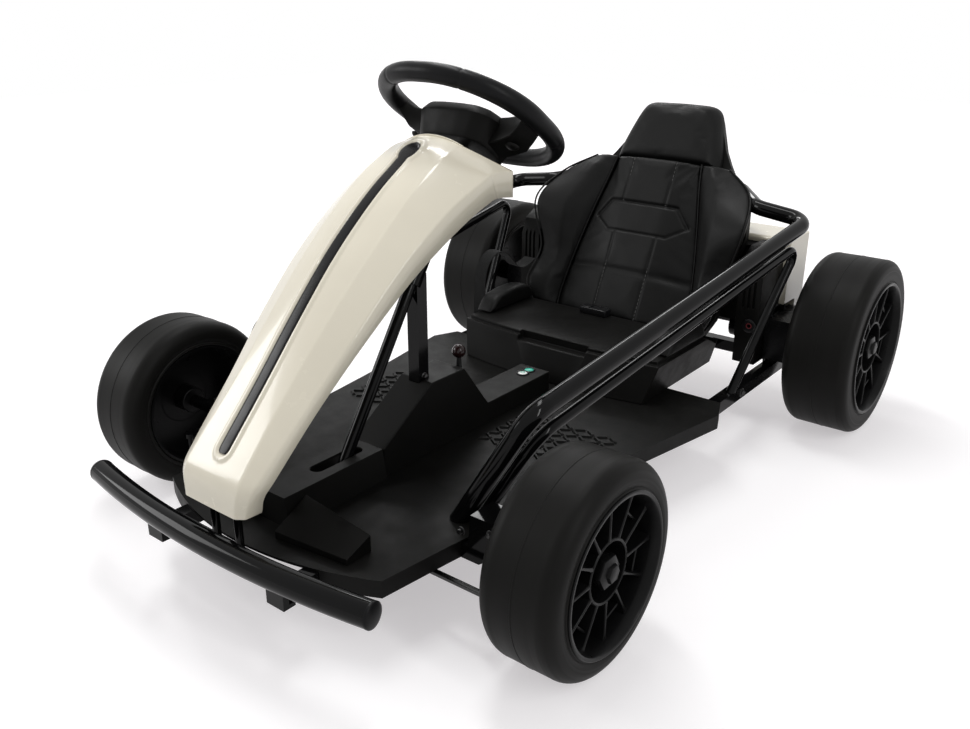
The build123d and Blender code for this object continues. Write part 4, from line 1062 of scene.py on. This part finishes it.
def wing_shell(side):
    """A wing: from the crease it folds up to a ridge and down to its round edge, carried up the back."""
    u, inner, inner_n, outer, outer_n = back_columns(80)
    inner = inner + 0.6
    t = np.linspace(0, 1, 18)
    x = inner[:, None] + (outer - inner)[:, None] * t
    rise = np.clip((outer - inner) * 0.2, 4, 15)
    fold = np.minimum(t / 0.4, (1 - t) / 0.6)
    n = inner_n[:, None] + (outer_n - inner_n)[:, None] * t + rise[:, None] * fold**0.9
    thick = np.maximum(outer_n - 16.0, -25.0)
    edge_t = np.linspace(0, np.pi, 7)[1:-1]
    mid_n, half_n = (outer_n + thick) / 2, (outer_n - thick) / 2
    edge_x = outer[:, None] + 3.0 * np.sin(edge_t)
    edge_n = mid_n[:, None] + half_n[:, None] * np.cos(edge_t)
    back_x = np.stack([outer, inner], -1)
    back_n = np.stack([thick, np.full_like(thick, PAD_REAR)], -1)
    x = np.concatenate([x, edge_x, back_x], 1)
    n = np.concatenate([n, edge_n, back_n], 1)
    return closed_skin(back_point(side * x, u[:, None], n))


HEADREST_FOOT_U = 301.0
SEAT_TOP_Z = 166.6
THIGH_X = 173.0


def headrest_shell():
    """The headrest: an outline drawn in towards the driver in rounded steps."""
    outline = mirrored([(95, HEADREST_FOOT_U), (91, 330), (73, 388), (62, 408)])
    outline = rounded_line(outline, (3, 10, 12, 16, 16, 12, 10, 3), 5, closed=True)
    centre = np.array([0.0, 345.0])
    levels = [
        (-66, 1.08), (-58, 1.11), (-46, 1.09), (-36, 1.03), (-28, 0.965), (-22, 0.89), (-19.5, 0.82),
        (-19, 0.5)
    ]
    rows = levelled(outline, levels, centre)
    rows[..., 1] = np.maximum(rows[..., 1], HEADREST_FOOT_U)
    return closed_skin(back_point(rows[..., 0], rows[..., 1], rows[..., 2]))


def thigh_shell(side):
    """A thigh bolster: a side outline with round corners, carried across with its ends drawn in."""
    line = np.array([(140, SEAT_TOP_Z), (276, SEAT_TOP_Z), (263, 194), (214, 200), (160, 193)], float)
    line = rounded_line(line, (2, 3, 14, 30, 14), 6, closed=True)
    levels = [(-17, 0.86), (-16, 0.95), (-12, 1.0), (12, 1.0), (16, 0.95), (17, 0.86)]
    rows = levelled(line, levels, line.mean(0))
    z = np.maximum(rows[..., 1], SEAT_TOP_Z)
    return closed_skin(np.stack([side * THIGH_X + rows[..., 2], rows[..., 0], z], -1))


class KART_OT_seat_pads(Operator):
    """Make the seat's centre panel, wings, headrest and thigh bolsters as padded leather"""

    bl_idname = "kart.seat_pads"
    bl_label = "Seat padding"

    def execute(self, context):
        puff = sizes().pad_puff

        def held(points):
            return back_coords(points)[2] < -22.5

        padded("seat_panel", panel_shell(), "seat_back_pad", puff * 0.6, held, panel_groove)
        for side, name in ((1, "left"), (-1, "right")):
            padded(f"seat_wing_{name}", wing_shell(side), f"back_wing_{name}", puff * 0.7, held)
            padded(
                f"thigh_pad_{name}", thigh_shell(side), f"thigh_bolster_{name}", puff * 0.6,
                lambda p: p[:, 2] < 170
            )
        padded(
            "headrest_cushion", headrest_shell(), "headrest_pad", puff * 0.5,
            lambda p: back_coords(p)[2] < -46
        )
        return {"FINISHED"}


def on_panel(x, u, lift=0.6):
    """Points just above the centre panel."""
    table = np.asarray(BACK_ROWS)
    edge = np.interp(u, table[:, 0], table[:, 1])
    edge_n = np.interp(u, table[:, 0], table[:, 2])
    crown = np.clip((np.abs(x) - CROWN_X) / (edge - CROWN_X), 0, 1)
    return back_point(x, u, edge_n * crown**CROWN_POWER + lift)


def stitches(path, length, radius):
    """Short round stitches along a path, each a capsule, with gaps between them."""
    total = np.linalg.norm(np.diff(path, axis=0), axis=1).sum()
    count = max(2, int(total / (length * 1.35)))
    points = resampled(path, count * 2 + 1)
    a, b = points[0:-1:2], points[1::2]
    axis = b - a
    size = np.linalg.norm(axis, axis=1, keepdims=True)
    z = axis / size
    x = np.cross(z, BACK_OUT)
    x /= np.linalg.norm(x, axis=1, keepdims=True)
    y = np.cross(z, x)
    places = np.zeros((len(a), 4, 4))
    places[:, :3, 0], places[:, :3, 1], places[:, :3, 2] = x * radius, y * radius * 0.7, z * length * 0.5
    places[:, :3, 3], places[:, 3, 3] = (a + b) / 2, 1
    level = [(-1.0, 0.0), (-0.9, 0.7), (-0.6, 1.0), (0.6, 1.0), (0.9, 0.7), (1.0, 0.0)]
    along_z = np.roll(spun(level, 6), -1, axis=-1)
    return copies(*skin(along_z, wrap_cols=True), places)


class KART_OT_seat_trim(Operator):
    """Sew the seat: two stitched seams, and piping along the creases and the wings' edges"""

    bl_idname = "kart.seat_trim"
    bl_label = "Seat stitching and piping"

    def execute(self, context):
        s = sizes()
        length, radius, piping = s.stitch_length / MM, s.stitch_radius / MM, s.piping_radius / MM
        shells = []
        for side in (-1, 1):
            for low, high in ((8.0, 159.0), (216.0, 297.0)):
                u = np.linspace(low, high, 60)
                shells.append(stitches(on_panel(np.full_like(u, side * STITCH_X), u, -0.3), length, radius))
        piece("seat_stitches", joined(*shells), "seat_leather", look="thread_grey", sharp=60)
        shells = []
        for side in (-1, 1):
            rows = spline_rows(BACK_ROWS, 90)
            path = back_point(side * (rows[:, 1] + 0.3), rows[:, 0], rows[:, 2] + 1.2)
            shells.append(swept(path, piping, 10, (1, 0, 0)))
            path = back_point(side * (rows[:, 3] + 2.0), rows[:, 0], rows[:, 4] - 1.0)
            shells.append(swept(path, piping * 1.2, 10, (1, 0, 0)))
        piece("seat_piping", joined(*shells), "seat_leather", sharp=60)
        return {"FINISHED"}


# Belt


BELT_LINE = (
    (322, 224), (292, 216), (270, 221), (246, 243), (226, 256), (204, 258), (184, 246), (172, 222),
    (168, 186), (168, 134)
)
BELT_X = -203.3
# The webbing's section: across its width, and how far each point stands out of its middle
WEBBING_ACROSS = (
    -12.4, -12.9, -12.6, -11.0, 0.0, 11.0, 12.6, 12.9, 12.4, 12.6, 11.0, 0.0, -11.0, -12.6
)
WEBBING_LIFT = (0.0, 0.7, 1.3, 1.05, 1.0, 1.05, 1.3, 0.7, 0.0, -0.3, -0.2, -0.2, -0.2, -0.3)


class KART_OT_belt(Operator):
    """Make the lap belt's loop of webbing and the buckle at the seat's foot"""

    bl_idname = "kart.belt"
    bl_label = "Lap belt"

    def execute(self, context):
        line = spline_rows(BELT_LINE, 160)
        line = resampled(line, 160)
        step = np.gradient(line, axis=0)
        step /= np.linalg.norm(step, axis=1, keepdims=True)
        normal = np.stack([-step[:, 1], step[:, 0]], -1)
        across = np.array(WEBBING_ACROSS)
        lift = np.array(WEBBING_LIFT) + 0.5
        along = np.linspace(0, 1, len(line))
        twist = 0.10 * np.sin(along * 7.0)
        x = BELT_X + across[None] * np.cos(twist)[:, None]
        out = lift[None] + across[None] * np.sin(twist)[:, None]
        y, z = line[:, :1] + normal[:, :1] * out, line[:, 1:] + normal[:, 1:] * out
        shell = closed_skin(np.stack([x, y, z], -1))
        obj = piece("lap_belt", shell, "belt_webbing", ("seat_belt",), clean=False)
        cols = len(across)

        def across_and_along(i):
            row = np.minimum(i // cols, len(line) - 1)
            col = np.where(i < cols * len(line), i % cols, 0)
            return np.stack([across[col] * MM * 40, row / len(line) * 0.4], -1)

        set_uv(obj, across_and_along)
        tidy_mesh(obj.data, 50)
        outline = rounded_line([(-43, 248), (11, 248), (11, 270), (-43, 270)], 5.0, 6, closed=True)
        levels = (
            (166.4, 0.97), (167.2, 1.0), (175.6, 1.0), (177.4, 0.97), (178.0, 0.9), (178.0, 0.72),
            (177.0, 0.7), (177.0, 0.4),
        )
        button = rounded_line([(-38, 253), (-24, 253), (-24, 265), (-38, 265)], 2.0, 4, closed=True)
        level = ((176.0, 1.0), (177.9, 1.0), (178.3, 0.9), (178.4, 0.4))
        case = closed_skin(levelled(outline, levels, outline.mean(0)))
        shell = joined(case, closed_skin(levelled(button, level, button.mean(0))))
        piece("buckle_housing", shell, "gloss_black", ("belt_buckle",), sharp=35)
        return {"FINISHED"}


# Mouldings and floor


SOFTENED = (
    # node, name, slot, rounding as a multiple of the edge rounding
    ("seat_base", "seat_base_moulding", "matt_black", 2.4),
    ("centre_console", "console_moulding", "matt_black", 2.2),
    ("rear_cover", "rear_cover_moulding", "matt_black", 1.6),
    ("rear_fascia", "rear_panel_moulding", "ivory_gloss", 4.0),
    ("foot_stops", "foot_rests", "matt_black", 2.2),
    ("seat_shell", "seat_shell_moulding", "matt_black", 2.5),
    ("drive_unit_left", "drive_case_left", "gloss_black", 2.5),
    ("drive_unit_right", "drive_case_right", "gloss_black", 2.5),
    ("battery_block", "battery_case_block", "battery_case", 3.0),
)
SKIRT_BOXES = (
    # x, y and z ranges of the thin skirt below each side cover
    ((205.0, 244.0), (350.0, 353.0), (105.0, 152.0)),
    ((241.0, 244.0), (352.0, 433.0), (105.0, 152.0)),
)
SKIRT_EDGE = 0.0008


def block(xs, ys, zs):
    """A plain box from its three ranges."""
    x, y, z = np.meshgrid(xs, ys, zs, indexing="ij")
    verts = np.stack([x.ravel(), y.ravel(), z.ravel()], -1)
    return verts, [[0, 1, 3, 2], [4, 6, 7, 5], [0, 4, 5, 1], [2, 3, 7, 6], [0, 2, 6, 4], [1, 5, 7, 3]]


class KART_OT_mouldings(Operator):
    """Round the edges of the plain moulded parts and hang the thin skirts below the side covers"""

    bl_idname = "kart.mouldings"
    bl_label = "Moulded parts"

    def execute(self, context):
        for node, name, slot, width in SOFTENED:
            softened(node, name, slot, width * sizes().edge_round)
        shells = []
        for xs, ys, zs in SKIRT_BOXES:
            verts, faces = block(xs, ys, zs)
            shells += [(verts, faces), (verts * [-1, 1, 1], [face[::-1] for face in faces])]
        skirts = piece("cover_skirts", joined(*shells), "matt_black", sharp=30)
        add_modifier(skirts, "BEVEL", width=SKIRT_EDGE, segments=2)
        return {"FINISHED"}


TREAD_START, TREAD_SPAN, TREAD_LEAN = (50, -148), (168, 128), 0.6
FLOOR_TOP_Z = 100.0


def bar_shape(length, width, height):
    """One anti-slip bar: a box with its top drawn in on all sides."""
    x, y, inset = length / 2, width / 2, height * 0.6
    low = np.array([(-x, -y, -0.2), (x, -y, -0.2), (x, y, -0.2), (-x, y, -0.2)])
    high = np.array([
        (-x + inset, -y + inset, height), (x - inset, -y + inset, height), (x - inset, y - inset, height),
        (-x + inset, y - inset, height)
    ])
    faces = [[0, 1, 5, 4], [1, 2, 6, 5], [2, 3, 7, 6], [3, 0, 4, 7], [4, 5, 6, 7], [3, 2, 1, 0]]
    return np.vstack([low, high]), faces


class KART_OT_floor_tread(Operator):
    """Lay the staggered anti-slip bars on both sides of the floor"""

    bl_idname = "kart.floor_tread"
    bl_label = "Floor tread"

    def execute(self, context):
        s = sizes()
        length, width, height = s.bar_length / MM, s.bar_width / MM, s.bar_height / MM
        pitch_x, pitch_y = length * 1.12, width * 2.0
        columns, lines = int(TREAD_SPAN[0] / pitch_x), int(TREAD_SPAN[1] / pitch_y)
        i, j = np.meshgrid(np.arange(columns), np.arange(lines))
        x = TREAD_START[0] + i * pitch_x + length / 2
        y = TREAD_START[1] + j * pitch_y
        lean = np.where((i + j) % 2 == 0, TREAD_LEAN, -TREAD_LEAN).ravel()
        spots = np.stack([x.ravel(), y.ravel()], -1)
        spots, lean = np.vstack([spots, spots * [-1, 1]]), np.concatenate([lean, -lean])
        places = np.broadcast_to(np.eye(4), (len(spots), 4, 4)).copy()
        places[:, 0, 0], places[:, 0, 1] = np.cos(lean), -np.sin(lean)
        places[:, 1, 0], places[:, 1, 1] = np.sin(lean), np.cos(lean)
        places[:, 0, 3], places[:, 1, 3], places[:, 2, 3] = spots[:, 0], spots[:, 1], FLOOR_TOP_Z
        shell = copies(*bar_shape(length, width, height), places)
        piece("floor_tread_bars", shell, "matt_black", sharp=20)
        return {"FINISHED"}


# Controls and fasteners


def dome(radius, height, rim=0.8, sides=32):
    """A button: a low dome on a short wall, turned about X."""
    angle = np.linspace(0, np.pi / 2, 7)
    arc = np.stack([rim + (height - rim) * np.sin(angle), radius * np.cos(angle)], -1)
    return closed_skin(spun(np.vstack([[(-1.0, radius)], arc]), sides))


def up_frame(x, y, z):
    """A frame whose X axis points up, at a place."""
    return frame_matrix((x, y, z), (0, 0, 1), (1, 0, 0), (0, 1, 0))


BUTTON_Z = 131.0
KNOB_PLACE = (0.0, -132.0, 215.0)
SOCKET_MOUTH = (229.0, 350.0, 172.0)
SOCKET_TOE = math.radians(4.0)


class KART_OT_controls(Operator):
    """Make the two push buttons, the ball knob and the charging socket's ring"""

    bl_idname = "kart.controls"
    bl_label = "Buttons, knob and socket"

    def execute(self, context):
        ring = [(-0.5, 10.4), (1.0, 10.4), (1.8, 9.8), (2.1, 8.9), (1.8, 8.0), (-0.5, 7.8)]
        buttons = ((24.0, "button_white", "white", ("power_buttons",)), (41.0, "button_green", "green", ()))
        for y, top, name, stands_for in buttons:
            piece(
                f"button_{name}_cap", placed(dome(7.4, 2.6), up_frame(0, y, BUTTON_Z)), "button_white",
                stands_for, look=top, sharp=50
            )
            piece(
                f"button_{name}_ring", placed(turned(ring, 40), up_frame(0, y, BUTTON_Z)), "gloss_black",
                sharp=50
            )
        mark = [(2.2, 2.4), (2.75, 2.4), (2.85, 3.0), (2.75, 3.6), (2.2, 3.6)]
        piece(
            "button_mark", placed(turned(mark, 24), up_frame(0, 24.0, BUTTON_Z)), "button_white",
            look="button_green", sharp=50
        )
        angle = np.linspace(0, np.pi, 25)
        ball = np.stack([-10.0 * np.cos(angle), 10.0 * np.sin(angle)], -1)
        piece(
            "selector_knob", placed(skin(spun(ball, 40), wrap_cols=True), up_frame(*KNOB_PLACE)),
            "knob_dark_red", sharp=60
        )
        stem = [(-38.0, 9.0), (-33.0, 8.6), (-31.0, 6.4), (-26.0, 4.6), (-9.0, 3.6), (-8.0, 3.0)]
        piece(
            "selector_boot", placed(closed_skin(spun(stem, 32)), up_frame(*KNOB_PLACE)), "soft_black",
            sharp=50
        )
        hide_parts("selector_lever")
        sin, cos = math.sin(SOCKET_TOE), math.cos(SOCKET_TOE)
        mouth = frame_matrix(SOCKET_MOUTH, (sin, -cos, 0.0), (cos, sin, 0.0), (0, 0, -1))
        flange = [
            (-17.5, 2.9), (-7.5, 2.9), (1.4, 2.9), (1.4, 4.4), (1.6, 6.6), (2.4, 7.0), (2.4, 10.8),
            (1.6, 11.8), (0.4, 12.0), (-17.5, 12.0)
        ]
        piece(
            "socket_flange", placed(turned(flange, 48), mouth), "socket_red", ("charge_socket",),
            look="gloss_black", sharp=40
        )
        collar = [(1.0, 3.0), (1.8, 3.1), (1.9, 3.5), (1.9, 4.5), (1.7, 5.0), (1.0, 5.1)]
        piece("socket_ring", placed(turned(collar, 48), mouth), "socket_red", sharp=50)
        return {"FINISHED"}


BOLTS = (
    # x, y, z, direction it faces, radius
    (247.0, -373.2, 124.0, (0, -1, 0), 3.6),
    (205.0, -373.2, 113.0, (0, -1, 0), 3.6),
    (9.7, -217.0, 206.0, (1, 0, 0), 3.6),
    (240.4, 413.0, 100.0, (1, 0, 0), 5.0),
    (262.4, 266.0, 88.0, (1, 0, 0), 5.0),
    (240.4, 462.0, 182.0, (1, 0, 0), 5.0),
)
BUMPER_END = (242.0, -556.0, 118.0)


def facing_frame(place, direction):
    """A frame at a place: its X axis points in the direction, the others are square to it."""
    third = np.cross(direction, (0.0, 0.0, 1.0))
    return frame_matrix(place, direction, third, np.cross(direction, third))


def bolt_shape(radius):
    """A bolt head with a washer: six-sided, with a low dome, turned about X."""
    head = np.array([(1.2, 1.0), (4.2, 1.0), (4.9, 0.86), (5.1, 0.4)]) * [1, radius]
    washer = np.array([(-0.4, 1.45), (1.0, 1.45), (1.3, 1.36), (1.3, 0.5)]) * [1, radius]
    return joined(closed_skin(spun(head, 6)), closed_skin(spun(washer, 24)))


class KART_OT_fasteners(Operator):
    """Set the bolt heads that show on the axle, the post and the rear frame, and the bumper's end caps"""

    bl_idname = "kart.fasteners"
    bl_label = "Bolts"

    def execute(self, context):
        shells = []
        for x, y, z, facing, radius in BOLTS:
            for side in (1, -1):
                at = facing_frame((side * x, y, z), np.array(facing, float) * [side, 1, 1])
                shells.append(placed(bolt_shape(radius), at))
        piece("bolt_heads", joined(*shells), "zinc_steel", sharp=30)
        x, y, z = BUMPER_END
        caps = []
        for side in (1, -1):
            at = facing_frame((side * x, y, z), np.array((side * 0.983, 0.18, 0.0)))
            caps.append(placed(dome(15.2, 4.5, 1.5, 40), at))
        piece("bumper_end_caps", joined(*caps), "soft_black", sharp=50)
        return {"FINISHED"}


# Studio


def lamp(name, place, aim, size, power, tint=(1.0, 1.0, 1.0)):
    """A rectangular soft lamp that faces a point."""
    data = bpy.data.lights.new(name, "AREA")
    data.shape = "RECTANGLE"
    data.size, data.size_y = size
    data.energy = power
    data.color = tint
    obj = bpy.data.objects.new(name, data)
    obj.location = place
    obj.rotation_euler = (Vector(aim) - Vector(place)).to_track_quat("-Z", "Y").to_euler()
    bpy.context.scene.collection.objects.link(obj)


LENS, SENSOR = 35.04, 36.0
CAMERA_PLACE = (0.8116, -1.0951, 0.6899)
CAMERA_AIM, CAMERA_ROLL = (-0.57805, 0.72883, -0.36617), math.radians(0.09)
WORLD_LIGHT = 0.46
FLOOR_GLOW_NEAR, FLOOR_GLOW_FAR = 0.48, 0.86
FLOOR_REACH, FLOOR_HALF = (0.9, 3.2), 6000
LAMPS = (
    # name, place, aim and size in metres, power in watts
    ("overhead", (-0.5, 0.3, 2.4), (0.0, 0.0, 0.2), (0.4, 1.8), 27.0),
    ("key_left", (2.4, -0.7, 1.9), (0.1, 0.0, 0.3), (0.22, 1.8), 20.0),
    ("fill_right", (-2.3, -1.7, 1.5), (0.0, -0.2, 0.3), (1.2, 1.2), 30.0),
    ("rim_back", (-1.6, 2.2, 1.9), (0.0, 0.1, 0.3), (1.4, 0.25), 11.0),
)


def seen_white(tree):
    """One for a ray from the camera or off metal, gloss or glass; nothing for the light on the kart."""
    path = made(tree, "LightPath").outputs
    first = {0: path["Is Camera Ray"], 1: path["Is Glossy Ray"]}
    first = made(tree, "Math", (), first, operation="MAXIMUM").outputs[0]
    last = {0: first, 1: path["Is Transmission Ray"]}
    return made(tree, "Math", (), last, operation="MAXIMUM").outputs[0]


class KART_OT_stage(Operator):
    """Make the pale floor, the soft lamps and the camera at the photograph's angle"""

    bl_idname = "kart.stage"
    bl_label = "Floor, lamps and camera"

    def execute(self, context):
        scene = context.scene
        grid = np.linspace(-FLOOR_HALF, FLOOR_HALF, 5)
        x, y = np.meshgrid(grid, grid, indexing="ij")
        verts, faces = skin(np.stack([x, y, np.zeros_like(x)], -1))
        mesh = bpy.data.meshes.new("floor")
        mesh.from_pydata((verts * MM).tolist(), [], faces)
        floor = bpy.data.objects.new("floor", mesh)
        scene.collection.objects.link(floor)
        material, tree, shader, at, _ = new_finish("pale_floor")
        values = {"Base Color": (0.62, 0.62, 0.62, 1), "Roughness": 0.9, "Specular IOR Level": 0.1}
        for key, value in values.items():
            shader.inputs[key].default_value = value
        reach = made(tree, "VectorMath", (), {0: at}, operation="LENGTH").outputs["Value"]
        near, far = FLOOR_REACH
        strength = mapped(tree, reach, FLOOR_GLOW_NEAR, FLOOR_GLOW_FAR, near, far)
        strength = product(tree, seen_white(tree), strength)
        glow = made(tree, "Emission", {"Color": (1.0, 0.965, 0.985, 1)}, {"Strength": strength})
        both = made(tree, "AddShader", (), {0: shader.outputs[0], 1: glow.outputs[0]})
        tree.links.new(both.outputs[0], tree.nodes["Material Output"].inputs["Surface"])
        mesh.materials.append(material)

        world = bpy.data.worlds.new("studio")
        scene.world = world
        world.use_nodes = True
        tree = world.node_tree
        back = tree.nodes["Background"]
        back.inputs["Color"].default_value = (1, 1, 1, 1)
        back.inputs["Strength"].default_value = WORLD_LIGHT
        white = made(tree, "Background", {"Color": (1, 1, 1, 1), "Strength": 1.0})
        sides = {0: seen_white(tree), 1: back.outputs[0], 2: white.outputs[0]}
        mix = made(tree, "MixShader", (), sides)
        tree.links.new(mix.outputs[0], tree.nodes["World Output"].inputs["Surface"])

        for name, place, aim, size, power in LAMPS:
            lamp(name, place, aim, size, power)

        camera = bpy.data.cameras.new("camera")
        camera.lens, camera.sensor_width = LENS, SENSOR
        camera.clip_start, camera.clip_end = 0.05, 60
        eye = bpy.data.objects.new("camera", camera)
        forward = Vector(CAMERA_AIM).normalized()
        right = forward.cross(Vector((0, 0, 1))).normalized()
        up = right.cross(forward)
        cos, sin = math.cos(CAMERA_ROLL), math.sin(CAMERA_ROLL)
        right, up = right * cos + up * sin, up * cos - right * sin
        axes = zip(right, up, -forward, CAMERA_PLACE)
        eye.matrix_world = Matrix((*axes, (0, 0, 0, 1)))
        scene.collection.objects.link(eye)
        scene.camera = eye
        scene.view_settings.view_transform = "Standard"
        return {"FINISHED"}


OPERATORS = (
    KART_OT_finishes,
    KART_OT_nose,
    KART_OT_tyres,
    KART_OT_rims,
    KART_OT_steering,
    KART_OT_seat_pads,
    KART_OT_seat_trim,
    KART_OT_belt,
    KART_OT_mouldings,
    KART_OT_floor_tread,
    KART_OT_controls,
    KART_OT_fasteners,
    KART_OT_stage,
)


class KART_PT_panel(Panel):
    """Lists the kart's groups of pieces, its sizes and its colours"""

    bl_idname = "KART_PT_panel"
    bl_label = "Go-kart"
    bl_space_type = "VIEW_3D"
    bl_region_type = "UI"
    bl_category = "Go-kart"

    def draw(self, context):
        layout = self.layout
        for operator in OPERATORS:
            layout.operator(operator.bl_idname)
        for group in (context.scene.kart_sizes, context.scene.kart_colours):
            box = layout.box()
            for key in group.bl_rna.properties.keys():
                if key not in {"rna_type", "name"}:
                    box.prop(group, key)


CLASSES = (KartSizes, KartColours, *OPERATORS, KART_PT_panel)


def register():
    """Make the classes known and hang the two groups on the scene."""
    for cls in CLASSES:
        bpy.utils.register_class(cls)
    bpy.types.Scene.kart_sizes = PointerProperty(type=KartSizes)
    bpy.types.Scene.kart_colours = PointerProperty(type=KartColours)


def unregister():
    """Take the groups and the classes away again."""
    del bpy.types.Scene.kart_sizes
    del bpy.types.Scene.kart_colours
    for cls in reversed(CLASSES):
        bpy.utils.unregister_class(cls)


def main():
    """Build every group in order."""
    register()
    for operator in OPERATORS:
        group, name = operator.bl_idname.split(".")
        getattr(getattr(bpy.ops, group), name)()


if __name__ == "__main__":
    main()
